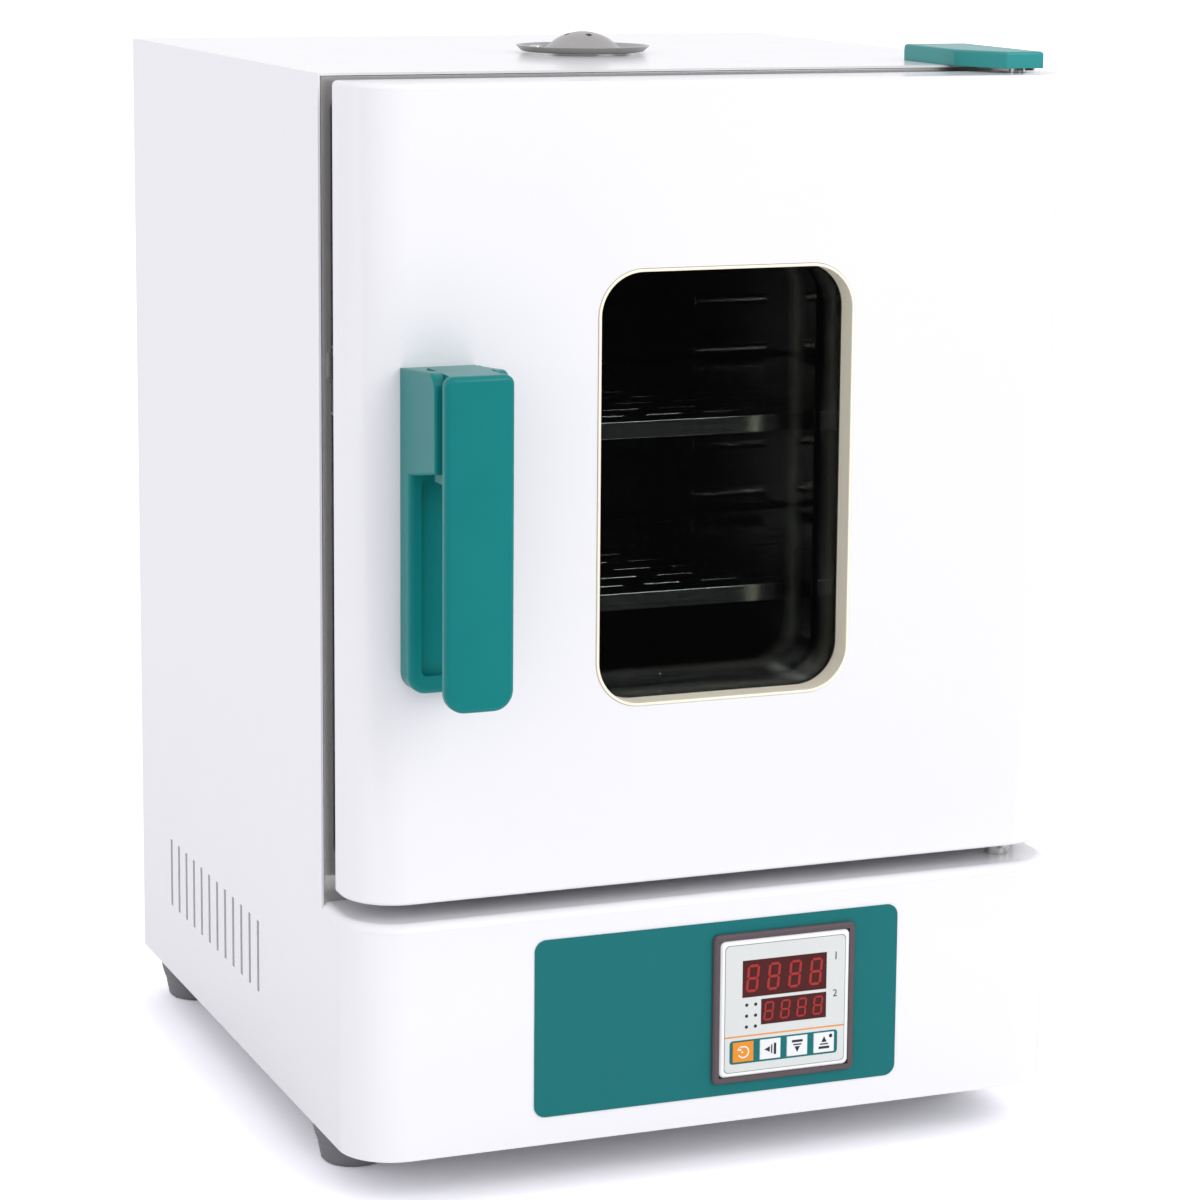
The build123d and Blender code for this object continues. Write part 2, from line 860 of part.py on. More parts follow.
# Fan motor: can, front boss, rear cap and the bore for the shaft
boss_radius = hub_radius - 2
with BuildPart() as fan_motor:
    with BuildSketch(across(y_motor)):
        with Locations((0, z_chamber_middle)):
            Circle(motor_radius)
    extrude(amount=-motor_length)
    chamfer(fan_motor.edges().filter_by(GeomType.CIRCLE), motor_edge)
    with BuildSketch(across(y_motor)):
        with Locations((0, z_chamber_middle)):
            Circle(boss_radius)
    extrude(amount=bracket_sheet + motor_boss)
    with BuildSketch(across(y_motor - bracket_sheet - motor_boss)):
        with Locations((0, z_chamber_middle)):
            Circle(shaft_radius + pin_clearance)
    extrude(amount=-(bracket_sheet + motor_boss + shaft_in_motor + 1), mode=Mode.SUBTRACT)
save(fan_motor, "fan_motor")

# Motor bracket: a plate on four studs that stand on the rear wall of the liner
with BuildPart() as motor_bracket:
    with BuildSketch(across(y_motor)):
        with Locations((0, z_chamber_middle)):
            RectangleRounded(bracket_width, bracket_height, bracket_radius)
            Circle(boss_radius + fit, mode=Mode.SUBTRACT)
    extrude(amount=bracket_sheet)
    with BuildSketch(across(y_motor - bracket_sheet)):
        with Locations(*stud_places):
            Circle(stud_radius)
    extrude(amount=y_motor - bracket_sheet - y_liner_back)
save(motor_bracket, "motor_bracket")

# Heater: a tubular ring round the impeller whose two legs pass out through the rear wall
y_heater = y_liner_inside - duct_depth / 2


def heater_leg(side):
    """Ring end, middle and end of the bend, and tip of the leg on one side of the ring's gap."""
    end = Vector(side * heater_radius * gap_sine, y_heater, z_chamber_middle - heater_radius * gap_cosine)
    onward = Vector(-side * gap_cosine, 0, -gap_sine) * heater_bend
    back = Vector(0, heater_bend, 0)
    middle = end + back + (onward - back) * cos(radians(45))
    straight = end + back + onward
    tip = Vector(straight.X, y_insulation_back + heater_tail, straight.Z)
    return end, middle, straight, tip


left_end, left_middle, left_straight, left_tip = heater_leg(-1)
right_end, right_middle, right_straight, right_tip = heater_leg(1)
with BuildPart() as heater_element:
    with BuildLine():
        Line(left_tip, left_straight)
        ThreePointArc(left_straight, left_middle, left_end)
        ThreePointArc(left_end, (0, y_heater, z_chamber_middle + heater_radius), right_end)
        ThreePointArc(right_end, right_middle, right_straight)
        Line(right_straight, right_tip)
    with BuildSketch(Plane(origin=left_tip, x_dir=(1, 0, 0), z_dir=(0, -1, 0))):
        Circle(heater_tube / 2)
    sweep()
save(heater_element, "heater_element")

# Temperature probe, through the rear wall and the air guide into the chamber
with BuildPart() as temperature_probe:
    with BuildSketch(across(y_insulation_back + heater_tail)):
        with Locations((probe_offset, z_chamber_middle + probe_rise)):
            Circle(probe_radius)
    extrude(amount=y_insulation_back + heater_tail - y_guide + probe_reach)
    fillet(temperature_probe.edges().group_by(Axis.Y)[0], probe_radius * probe_tip_share)
save(temperature_probe, "temperature_probe")

# Over-temperature thermostat on the outside of the liner's rear wall, with its two tabs
with BuildPart() as limit_thermostat:
    with BuildSketch(across(y_liner_back + thermostat_height)):
        with Locations((thermostat_offset, z_chamber_middle + thermostat_rise)):
            Circle(thermostat_radius)
    extrude(amount=thermostat_height)
    with BuildSketch(across(y_liner_back + thermostat_height)):
        with Locations((thermostat_offset, z_chamber_middle + thermostat_rise)):
            with GridLocations(thermostat_radius, tab_size[1], 2, 1):
                Rectangle(*tab_size)
    extrude(amount=-tab_length)
save(limit_thermostat, "limit_thermostat")

# Shelf rails: two notched strips on each side wall, with a ledge for each shelf
x_wall = chamber_width / 2
z_upper_shelf = z_floor + upper_shelf_rise
z_lower_shelf = z_floor + lower_shelf_rise
shelf_tops = {"shelf_upper": z_upper_shelf, "shelf_lower": z_lower_shelf}
strip_fronts = (y_mouth + rail_front, y_mouth + rail_front + rail_spacing)
notch_count = int((rail_strip_height - rail_notch_height) / rail_notch_pitch)
ledge_front = y_mouth + ledge_setback
ledge_back = y_guide - louvre_stand - ledge_end_gap
for name, side in {"shelf_rail_left": -1, "shelf_rail_right": 1}.items():
    with BuildPart() as shelf_rail:
        with BuildSketch(along(side * (x_wall - rail_sheet / 2))):
            for y in strip_fronts:
                with Locations((y + rail_strip_width / 2, z_chamber_middle)):
                    Rectangle(rail_strip_width, rail_strip_height)
        extrude(amount=rail_sheet / 2, both=True)
        with BuildSketch(along(side * (x_wall - rail_sheet / 2))):
            for y in strip_fronts:
                with Locations((y + rail_strip_width / 2, z_chamber_middle)):
                    with GridLocations(rail_notch_width, rail_notch_pitch, 1, notch_count):
                        Rectangle(rail_notch_width, rail_notch_height)
        extrude(amount=rail_sheet, both=True, mode=Mode.SUBTRACT)
        for z in shelf_tops.values():
            z_ledge_top = z - shelf_sheet - running
            with BuildSketch(across(ledge_back)):
                with Locations((side * (x_wall - rail_sheet), z_ledge_top)):
                    Polygon(
                        (0, 0),
                        (-side * rail_ledge, 0),
                        (-side * rail_ledge, -rail_sheet),
                        (-side * rail_sheet, -rail_sheet),
                        (-side * rail_sheet, -rail_ledge),
                        (0, -rail_ledge),
                        align=None,
                    )
            extrude(amount=ledge_back - ledge_front)
    save(shelf_rail, name)

# Shelves: perforated sheets with a lip folded down at the front and the rear
shelf_width = chamber_width - 2 * rail_sheet - 2 * shelf_side_gap
perforation_room_x = shelf_width - 2 * perforation_margin_x - perforation_length
perforation_room_y = shelf_depth - 2 * perforation_margin_y - perforation_width
perforation_columns = 1 + int(perforation_room_x / perforation_pitch_x)
perforation_rows = 1 + int(perforation_room_y / perforation_pitch_y)
y_shelf = y_mouth + shelf_setback
lip_width = chamber_width - 2 * (rail_sheet + rail_ledge + shelf_lip_gap)
for name, z in shelf_tops.items():
    with BuildPart() as shelf:
        with BuildSketch(Plane.XY.offset(z)):
            with Locations((0, y_shelf + shelf_depth / 2)):
                Rectangle(shelf_width, shelf_depth)
            for row in range(perforation_rows):
                stagger = row % 2
                y = y_shelf + shelf_depth / 2 + (row - (perforation_rows - 1) / 2) * perforation_pitch_y
                with Locations((0, y)):
                    with GridLocations(perforation_pitch_x, 1, perforation_columns - stagger, 1):
                        Rectangle(perforation_length, perforation_width, mode=Mode.SUBTRACT)
        extrude(amount=-shelf_sheet)
        with BuildSketch(Plane.XY.offset(z)):
            for y in (y_shelf + shelf_sheet / 2, y_shelf + shelf_depth - shelf_sheet / 2):
                with Locations((0, y)):
                    Rectangle(lip_width, shelf_sheet)
        extrude(amount=-shelf_lip)
    save(shelf, name)

# Vent pipe from the chamber's ceiling to the top of the casing
with BuildPart() as vent_pipe:
    with BuildSketch(Plane.XY.offset(z_ceiling)):
        with Locations((0, y_mouth + vent_from_mouth)):
            Circle(pipe_radius)
            Circle(pipe_radius - pipe_wall, mode=Mode.SUBTRACT)
    extrude(amount=z_top - z_ceiling)
save(vent_pipe, "vent_pipe")

# Vent base: a flat flange with four ports and a short neck inside the pipe
with BuildPart() as vent_base:
    with BuildSketch(Plane.XY.offset(z_top)):
        with Locations((0, y_mouth + vent_from_mouth)):
            Circle(vent_base_radius)
    extrude(amount=vent_base_sheet)
    with BuildSketch(Plane.XY.offset(z_top)):
        with Locations((0, y_mouth + vent_from_mouth)):
            Circle(pipe_radius - pipe_wall - fit)
            Circle(pipe_radius - 2 * pipe_wall - fit, mode=Mode.SUBTRACT)
    extrude(amount=-neck_length)
    with BuildSketch(Plane.XY.offset(z_top)):
        with Locations((0, y_mouth + vent_from_mouth)):
            with PolarLocations(vent_port_circle, vent_port_count, start_angle=180 / vent_port_count):
                Circle(vent_port_radius)
    extrude(amount=vent_base_sheet, mode=Mode.SUBTRACT)
save(vent_base, "vent_base")

# Vent pivot: the pin and head that hold the turning cap
z_cap = z_top + vent_base_sheet + running
z_cap_floor = z_cap + vent_cap_sheet
with BuildPart() as vent_pivot:
    with BuildSketch(Plane.XY.offset(z_top + vent_base_sheet)):
        with Locations((0, y_mouth + vent_from_mouth)):
            Circle(vent_pivot_radius)
    extrude(amount=z_cap_floor + running - z_top - vent_base_sheet)
    with BuildSketch(Plane.XY.offset(z_cap_floor + running)):
        with Locations((0, y_mouth + vent_from_mouth)):
            Circle(vent_pivot_head)
    extrude(amount=pivot_head_height)
save(vent_pivot, "vent_pivot")


def dome_arc(radius, height):
    """Rim, middle and crown of a dome's profile that stands on the floor of the vent cap."""
    sphere = (radius**2 + height**2) / (2 * height)
    middle = radius / 2
    rise = sqrt(sphere**2 - middle**2) - sphere + height
    return (radius, z_cap_floor), (middle, z_cap_floor + rise), (0, z_cap_floor + height)


# Vent cap: a turning dish with an upright rim and a hollow dome over the ports
cap_bore = vent_pivot_radius + pin_clearance
outer_dome = dome_arc(dome_radius, dome_height)
inner_dome = dome_arc(dome_radius - vent_cap_sheet, dome_height - vent_cap_sheet)
rim_wall = vent_cap_sheet * sqrt(vent_rim_flare**2 + vent_rim_height**2) / vent_rim_height
rim_floor_radius = (
    vent_cap_radius - rim_wall - vent_rim_flare * (1 - vent_cap_sheet / vent_rim_height)
)
with BuildPart() as vent_cap:
    with BuildSketch(standing(0, y_mouth + vent_from_mouth)):
        with BuildLine():
            ThreePointArc(*outer_dome)
            Polyline(
                outer_dome[0],
                (rim_floor_radius, z_cap_floor),
                (vent_cap_radius - rim_wall, z_cap + vent_rim_height),
                (vent_cap_radius, z_cap + vent_rim_height),
                (vent_cap_radius - vent_rim_flare, z_cap),
                (cap_bore, z_cap),
                (cap_bore, z_cap_floor),
                inner_dome[0],
            )
            ThreePointArc(*inner_dome)
            Line(inner_dome[2], outer_dome[2])
        make_face()
    revolve(axis=Axis((0, y_mouth + vent_from_mouth, 0), (0, 0, 1)))
    with BuildSketch(Plane.XY.offset(z_cap)):
        with Locations((0, y_mouth + vent_from_mouth)):
            with PolarLocations(vent_port_circle, vent_port_count):
                Circle(vent_port_radius)
    extrude(amount=vent_cap_sheet, mode=Mode.SUBTRACT)
    with BuildSketch(Plane.XY.offset(z_cap_floor + vent_cap_sheet)):
        with Locations((0, y_mouth + vent_from_mouth)):
            with PolarLocations(dome_hole_circle, vent_port_count):
                Circle(dome_hole_radius)
    extrude(amount=dome_height, mode=Mode.SUBTRACT)
save(vent_cap, "vent_cap")

# Finger screw that stands on the dish of the vent cap
with BuildPart() as vent_stud:
    with BuildSketch(Plane.XY.offset(z_cap_floor)):
        with Locations((-vent_stud_circle, y_mouth + vent_from_mouth)):
            Circle(vent_stud_radius)
    extrude(amount=vent_stud_height)
    fillet(vent_stud.edges().group_by(Axis.Z)[-1], vent_stud_rounding)
save(vent_stud, "vent_stud")

# Hinge bracket: a foot on the roof and a tongue that holds the upper pin above the door
x_cover_right = x_hinge + cover_right
x_cover_left = x_cover_right - cover_width
y_bracket_foot = y_mouth + bracket_foot_start
with BuildPart() as hinge_bracket:
    with BuildSketch(Plane.XY.offset(z_top)):
        with Locations(((x_cover_left + x_cover_right) / 2, y_bracket_foot + bracket_foot_length / 2)):
            RectangleRounded(bracket_foot_width, bracket_foot_length, bracket_plate)
        with Locations((x_hinge, (y_hinge + y_bracket_foot + bracket_plate) / 2)):
            Rectangle(2 * bracket_tongue_radius, y_bracket_foot + bracket_plate - y_hinge)
        with Locations((x_hinge, y_hinge)):
            Circle(bracket_tongue_radius)
            Circle(pin_stub_radius + pin_clearance, mode=Mode.SUBTRACT)
    extrude(amount=bracket_plate)
save(hinge_bracket, "hinge_bracket")

# Upper hinge pin: shouldered below the bracket, riveted above it, its end inside the door
with BuildPart() as hinge_pin_upper:
    with BuildSketch(Plane.XY.offset(z_top)):
        with Locations((x_hinge, y_hinge)):
            Circle(hinge_pin_radius)
    extrude(amount=-(door_top_gap + sheet + hinge_pin_engagement))
    with BuildSketch(Plane.XY.offset(z_top)):
        with Locations((x_hinge, y_hinge)):
            Circle(pin_stub_radius)
    extrude(amount=bracket_plate)
    with BuildSketch(Plane.XY.offset(z_top + bracket_plate)):
        with Locations((x_hinge, y_hinge)):
            Circle(hinge_pin_radius)
    extrude(amount=pin_rivet_height)
save(hinge_pin_upper, "hinge_pin_upper")

# Lower hinge pin: a collar on the ledge that bears the door, with a nut under the ledge
with BuildPart() as hinge_pin_lower:
    with BuildSketch(Plane.XY.offset(z_ledge)):
        with Locations((x_hinge, y_hinge)):
            Circle(hinge_collar_radius)
    extrude(amount=ledge_gap - running)
    with BuildSketch(Plane.XY.offset(z_ledge - sheet - pin_nut_height - 1)):
        with Locations((x_hinge, y_hinge)):
            Circle(hinge_pin_radius)
    extrude(amount=1 + pin_nut_height + sheet + ledge_gap + sheet + hinge_pin_engagement)
    with BuildSketch(Plane.XY.offset(z_ledge - sheet)):
        with Locations((x_hinge, y_hinge)):
            RegularPolygon(pin_nut_radius, 6)
    extrude(amount=-pin_nut_height)
save(hinge_pin_lower, "hinge_pin_lower")

# Two bushes against the door's lower and upper skins, round the hinge pins
with BuildPart() as hinge_bushes:
    for z, direction in ((z_door_bottom + sheet, 1), (z_door_top - sheet, -1)):
        with BuildSketch(Plane.XY.offset(z)):
            with Locations((x_hinge, y_hinge)):
                Circle(bush_radius)
                Circle(hinge_pin_radius + pin_clearance, mode=Mode.SUBTRACT)
        extrude(amount=direction * bush_length)
save(hinge_bushes, "hinge_bushes")

# Hinge cover: a shallow hood with one corner cut back, over the bracket
with BuildPart() as hinge_cover:
    with BuildSketch(Plane.XY.offset(z_top)) as cover_plan:
        with BuildLine():
            Polyline(
                (x_cover_left, y_mouth + cover_rear),
                (x_cover_left, y_mouth - cover_front + cover_chamfer_depth),
                (x_cover_left + cover_chamfer_width, y_mouth - cover_front),
                (x_cover_right, y_mouth - cover_front),
                (x_cover_right, y_mouth + cover_rear),
                close=True,
            )
        make_face()
    extrude(amount=cover_height)
    fillet(hinge_cover.edges().group_by(Axis.Z)[-1], cover_edge_radius)
    with BuildSketch(Plane.XY.offset(z_top)):
        add(cover_plan.sketch_local)
        offset(amount=-cover_wall)
    extrude(amount=cover_height - cover_wall, mode=Mode.SUBTRACT)
save(hinge_cover, "hinge_cover")



def door_form(inset):
    """The door's outer body drawn in by inset all round, with its rounded corners and edges."""
    with BuildPart() as form:
        with BuildSketch(Plane.XY.offset(z_door_bottom + inset)) as plan:
            with Locations((0, (y_door_front + y_door_flange) / 2)):
                Rectangle(door_width - 2 * inset, y_door_flange - y_door_front - 2 * inset)
            fillet(plan.vertices().group_by(Axis.Y)[0], corner_radius - inset)
            fillet(plan.vertices().group_by(Axis.Y)[-1], door_back_radius - inset)
        extrude(amount=door_height - 2 * inset)
        rims = form.edges().group_by(Axis.Z)
        fillet(rims[0] + rims[-1], door_edge_radius - inset)
    return form.part


# Door shell: a deep folded tray with a window in its front and a flange round its open back
door_block = door_form(0)
door_hollow = door_form(sheet)
with BuildPart() as door_shell:
    add(door_block)
    add(door_hollow, mode=Mode.SUBTRACT)
    with BuildSketch(across(y_door_flange)):
        with Locations((0, z_door_middle)):
            Rectangle(door_width - 2 * door_flange, door_height - 2 * door_flange)
    extrude(amount=2 * sheet, mode=Mode.SUBTRACT)
    with BuildSketch(across(y_door_front)):
        with Locations((0, z_door_middle)):
            RectangleRounded(window_width, window_height, window_radius)
        with Locations((x_handle, z_pivot + (arm_slot_head - arm_slot_foot) / 2)):
            Rectangle(latch_plate + 2 * latch_side_gap, arm_slot_head + arm_slot_foot)
    extrude(amount=-2 * sheet, mode=Mode.SUBTRACT)
    for z in (z_door_bottom, z_door_top - sheet):
        with BuildSketch(Plane.XY.offset(z)):
            with Locations((x_hinge, y_hinge)):
                Circle(hinge_pin_radius + pin_hole_gap)
        extrude(amount=sheet, mode=Mode.SUBTRACT)
save(door_shell, "door_shell")

# Door insulation between the shell and the inner panel, cut out round the window and the latch
tunnel_width = window_width + 2 * (pane_overlap + tunnel_gap)
tunnel_height = window_height + 2 * (pane_overlap + tunnel_gap)
wool_block = door_form(sheet + fit)
with BuildPart() as door_insulation:
    add(wool_block)
    with BuildSketch(across(y_door_flange)):
        with Locations((0, z_door_middle)):
            RectangleRounded(tunnel_width, tunnel_height, window_radius + pane_overlap + tunnel_gap)
        with Locations(((x_latch + x_handle) / 2, z_pivot + (arm_slot_head - blade_slot_foot) / 2)):
            Rectangle(
                x_handle - x_latch + latch_plate + 2 * pocket_gap,
                arm_slot_head + blade_slot_foot + 2 * pocket_gap,
            )
    extrude(amount=door_thickness, mode=Mode.SUBTRACT)
    for z, direction in ((z_door_bottom, 1), (z_door_top, -1)):
        with BuildSketch(Plane.XY.offset(z)):
            with Locations((x_hinge, y_hinge)):
                Circle(bush_radius + fit)
        extrude(amount=direction * (sheet + bush_length + fit), mode=Mode.SUBTRACT)
save(door_insulation, "door_insulation")

# Inner door panel: the flat sheet on the flange, with the window and the slot of the latch blade
with BuildPart() as door_inner_panel:
    with BuildSketch(across(y_door_back)):
        with Locations((0, z_door_middle)):
            RectangleRounded(
                door_width - 2 * inner_panel_margin,
                door_height - 2 * inner_panel_margin,
                inner_panel_margin,
            )
            RectangleRounded(
                inner_window_width,
                inner_window_height,
                inner_window_radius,
                mode=Mode.SUBTRACT,
            )
        with Locations((x_latch, z_pivot + (arm_slot_head - blade_slot_foot) / 2)):
            Rectangle(
                latch_plate + 2 * latch_side_gap,
                arm_slot_head + blade_slot_foot,
                mode=Mode.SUBTRACT,
            )
    extrude(amount=inner_panel_sheet)
save(door_inner_panel, "door_inner_panel")

# Window: a gasket round the cut-out, the outer pane, a bright sleeve and the inner pane
y_outer_pane = y_door_front + pane_setback
y_spacer = y_outer_pane + pane_thickness
y_inner_pane = y_door_flange - pane_thickness
with BuildPart() as window_gasket:
    with BuildSketch(across(y_outer_pane)):
        with Locations((0, z_door_middle)):
            RectangleRounded(window_width - 2 * fit, window_height - 2 * fit, window_radius - fit)
            RectangleRounded(
                window_width - 2 * (fit + gasket_wall),
                window_height - 2 * (fit + gasket_wall),
                window_radius - fit - gasket_wall,
                mode=Mode.SUBTRACT,
            )
    extrude(amount=pane_setback + gasket_proud)
save(window_gasket, "window_gasket")

with BuildPart() as outer_pane:
    with BuildSketch(across(y_spacer)):
        with Locations((0, z_door_middle)):
            RectangleRounded(
                window_width + 2 * pane_overlap,
                window_height + 2 * pane_overlap,
                window_radius + pane_overlap,
            )
    extrude(amount=pane_thickness)
save(outer_pane, "outer_pane")

with BuildPart() as pane_spacer:
    with BuildSketch(across(y_inner_pane)):
        with Locations((0, z_door_middle)):
            RectangleRounded(
                window_width - 2 * spacer_wall,
                window_height - 2 * spacer_wall,
                window_radius - spacer_wall,
            )
            RectangleRounded(
                window_width - 4 * spacer_wall,
                window_height - 4 * spacer_wall,
                window_radius - 2 * spacer_wall,
                mode=Mode.SUBTRACT,
            )
    extrude(amount=y_inner_pane - y_spacer)
save(pane_spacer, "pane_spacer")

with BuildPart() as inner_pane:
    with BuildSketch(across(y_door_flange)):
        with Locations((0, z_door_middle)):
            RectangleRounded(
                inner_window_width + 2 * pane_overlap,
                inner_window_height + 2 * pane_overlap,
                inner_window_radius + pane_overlap,
            )
    extrude(amount=pane_thickness)
save(inner_pane, "inner_pane")

# Door seal: a rounded bead on the inner panel that meets the front frame round the chamber
seal_inner_width = chamber_width + 2 * seal_offset
seal_inner_height = chamber_height + 2 * seal_offset
with BuildPart() as door_seal:
    with BuildSketch(across(y_mouth - running)):
        with Locations((0, z_chamber_middle)):
            RectangleRounded(
                seal_inner_width + 2 * seal_width,
                seal_inner_height + 2 * seal_width,
                chamber_radius + seal_offset + seal_width,
            )
            RectangleRounded(
                seal_inner_width,
                seal_inner_height,
                chamber_radius + seal_offset,
                mode=Mode.SUBTRACT,
            )
    extrude(amount=door_gap - running)
    fillet(door_seal.faces().sort_by(Axis.Y)[-1].edges(), seal_rounding)
save(door_seal, "door_seal")

# Handle base: a plate along the door with two cheeks between which the lever turns
z_cheek_foot = z_handle_top - cheek_height
with BuildPart() as cheek_form:
    with BuildSketch(along(x_handle)) as cheek_side:
        with BuildLine():
            Polyline(
                (y_door_front, z_cheek_foot),
                (y_door_front - cheek_reach, z_cheek_foot + cheek_foot_lift),
                (y_door_front - cheek_reach, z_handle_top + cheek_top_lift),
                (y_door_front, z_handle_top),
                close=True,
            )
        make_face()
        front_corners = cheek_side.vertices().group_by(Axis.X)[0].sort_by(Axis.Y)
        fillet(front_corners[-1], cheek_top_radius)
        fillet(front_corners[0], cheek_foot_radius)
    extrude(amount=handle_width / 2, both=True)
    cheek_faces = cheek_form.faces().sort_by(Axis.X)
    fillet(
        [
            edge
            for face in (cheek_faces[0], cheek_faces[-1])
            for edge in face.edges()
            if edge.center().Y < y_door_front - fit
        ],
        cheek_edge_radius,
    )
with BuildPart() as handle_base:
    with BuildSketch(across(y_door_front)) as base_front:
        with Locations((x_handle, (z_handle_bottom + z_handle_top) / 2)):
            Rectangle(handle_width, handle_height)
        fillet(base_front.vertices().group_by(Axis.Y)[0], handle_end_radius)
    extrude(amount=handle_plate)
    fillet(handle_base.faces().sort_by(Axis.Y)[0].edges(), handle_edge_radius)
    add(cheek_form.part)
    with BuildSketch(along(x_handle)):
        with Locations((y_pivot, z_pivot)):
            Circle(lever_eye_radius + lever_clearance)
        with Locations((y_pivot + lever_block_rear + lever_clearance, z_cheek_foot - 1)):
            Rectangle(
                cheek_reach,
                cheek_height + cheek_top_lift + 2,
                align=(Align.MAX, Align.MIN),
            )
    extrude(amount=handle_width / 2 - cheek_wall, both=True, mode=Mode.SUBTRACT)
    with BuildSketch(along(x_handle)):
        with Locations((y_pivot, z_pivot)):
            Circle(pivot_pin_radius + pin_clearance)
    extrude(amount=pin_half_length, both=True, mode=Mode.SUBTRACT)
    with BuildSketch(across(y_door_front)):
        with Locations((x_handle, z_pivot + (arm_slot_head - arm_slot_foot) / 2)):
            Rectangle(latch_plate + 2 * latch_side_gap, arm_slot_head + arm_slot_foot - 2 * fit)
    extrude(amount=pivot_reach, mode=Mode.SUBTRACT)
    with BuildSketch(across(y_door_front - handle_plate)):
        with Locations((x_handle, (z_handle_bottom + handle_recess_margin + z_cheek_foot) / 2)):
            RectangleRounded(
                handle_recess_width,
                z_cheek_foot - z_handle_bottom - handle_recess_margin,
                handle_edge_radius,
            )
    extrude(amount=-handle_recess_depth, mode=Mode.SUBTRACT)
save(handle_base, "handle_base")

# Pin of the lever, held in the cheeks
with BuildPart() as handle_pin:
    with BuildSketch(along(x_handle)):
        with Locations((y_pivot, z_pivot)):
            Circle(pivot_pin_radius)
    extrude(amount=pin_half_length, both=True)
save(handle_pin, "handle_pin")

# Lever: a crowned bar in front of the cheeks and a rounded block between them
y_lever_back = y_door_front - lever_back
y_lever_front = y_door_front - handle_reach
z_lever_foot = z_handle_bottom + lever_foot_lift
z_lever_top = z_handle_top + lever_rise
lever_height = z_lever_top - z_lever_foot
block_half_width = handle_width / 2 - cheek_wall - running
with BuildPart() as handle_grip:
    with BuildSketch(across(y_lever_back)) as bar_front:
        with Locations((x_handle, z_lever_foot + lever_height / 2)):
            Rectangle(lever_width, lever_height)
        fillet(bar_front.vertices().group_by(Axis.Y)[0], lever_corner_radius)
        fillet(bar_front.vertices().group_by(Axis.Y)[-1], lever_top_radius)
    extrude(amount=lever_thickness)
    with BuildSketch(Plane.XY.offset(z_lever_foot)):
        with BuildLine():
            crown = ThreePointArc(
                (x_handle - lever_width / 2, y_lever_front + lever_crown),
                (x_handle, y_lever_front),
                (x_handle + lever_width / 2, y_lever_front + lever_crown),
            )
            Polyline(
                crown @ 1,
                (x_handle + lever_width / 2, y_lever_back),
                (x_handle - lever_width / 2, y_lever_back),
                crown @ 0,
            )
        make_face()
    extrude(amount=lever_height, mode=Mode.INTERSECT)
    fillet(handle_grip.faces().sort_by(Axis.Y)[0].edges(), lever_edge_radius)
    with BuildSketch(across(y_lever_back)):
        with Locations((x_handle, (z_lever_foot + lever_channel_margin + z_cheek_foot) / 2)):
            RectangleRounded(
                lever_width - 2 * lever_channel_margin,
                z_cheek_foot - z_lever_foot - lever_channel_margin,
                lever_channel_margin,
            )
    extrude(amount=lever_channel_depth, mode=Mode.SUBTRACT)
    with BuildSketch(along(x_handle)):
        with Locations((y_pivot, z_pivot)):
            Circle(lever_eye_radius)
        with Locations((y_lever_back - 1, z_cheek_foot + lever_block_gap)):
            Rectangle(
                y_pivot + lever_block_rear - y_lever_back + 1,
                cheek_height - lever_block_gap + lever_block_lift,
                align=Align.MIN,
            )
        with Locations((y_lever_back - 1, z_handle_top + lever_block_lift)):
            Rectangle(cheek_reach, lever_eye_radius, align=Align.MIN, mode=Mode.SUBTRACT)
    extrude(amount=block_half_width, both=True)
    with BuildSketch(along(x_handle)):
        with Locations((y_pivot, z_pivot)):
            Circle(latch_eye_radius + fit)
        with Locations((y_pivot, z_pivot)):
            Rectangle(
                lever_eye_radius + 1,
                latch_bar_height + 2 * fit,
                align=(Align.MIN, Align.CENTER),
            )
    extrude(amount=latch_plate / 2 + fit, both=True, mode=Mode.SUBTRACT)
    with BuildSketch(along(x_handle)):
        with Locations((y_pivot, z_pivot)):
            Circle(pivot_pin_radius + pin_clearance)
    extrude(amount=handle_width, both=True, mode=Mode.SUBTRACT)
save(handle_grip, "handle_grip")

# Latch arm: an eye in the lever, a bar through the door, a cross bar and the blade at its rear
y_blade_tip = y_mouth - latch_tip_gap
with BuildPart() as latch_arm:
    with BuildSketch(along(x_handle)):
        with Locations((y_pivot, z_pivot)):
            Circle(latch_eye_radius)
            Rectangle(y_crank - y_pivot, latch_bar_height, align=(Align.MIN, Align.CENTER))
            Circle(pivot_pin_radius + pin_clearance, mode=Mode.SUBTRACT)
    extrude(amount=latch_plate / 2, both=True)
    with BuildSketch(Plane.XY.offset(z_pivot)):
        with Locations(((x_latch + x_handle) / 2, y_crank)):
            Rectangle(x_handle - x_latch + latch_plate, cross_bar_depth)
        with Locations((x_latch, (y_crank + y_blade_tip) / 2)):
            Rectangle(latch_plate, y_blade_tip - y_crank)
    extrude(amount=latch_bar_height / 2, both=True)
save(latch_arm, "latch_arm")

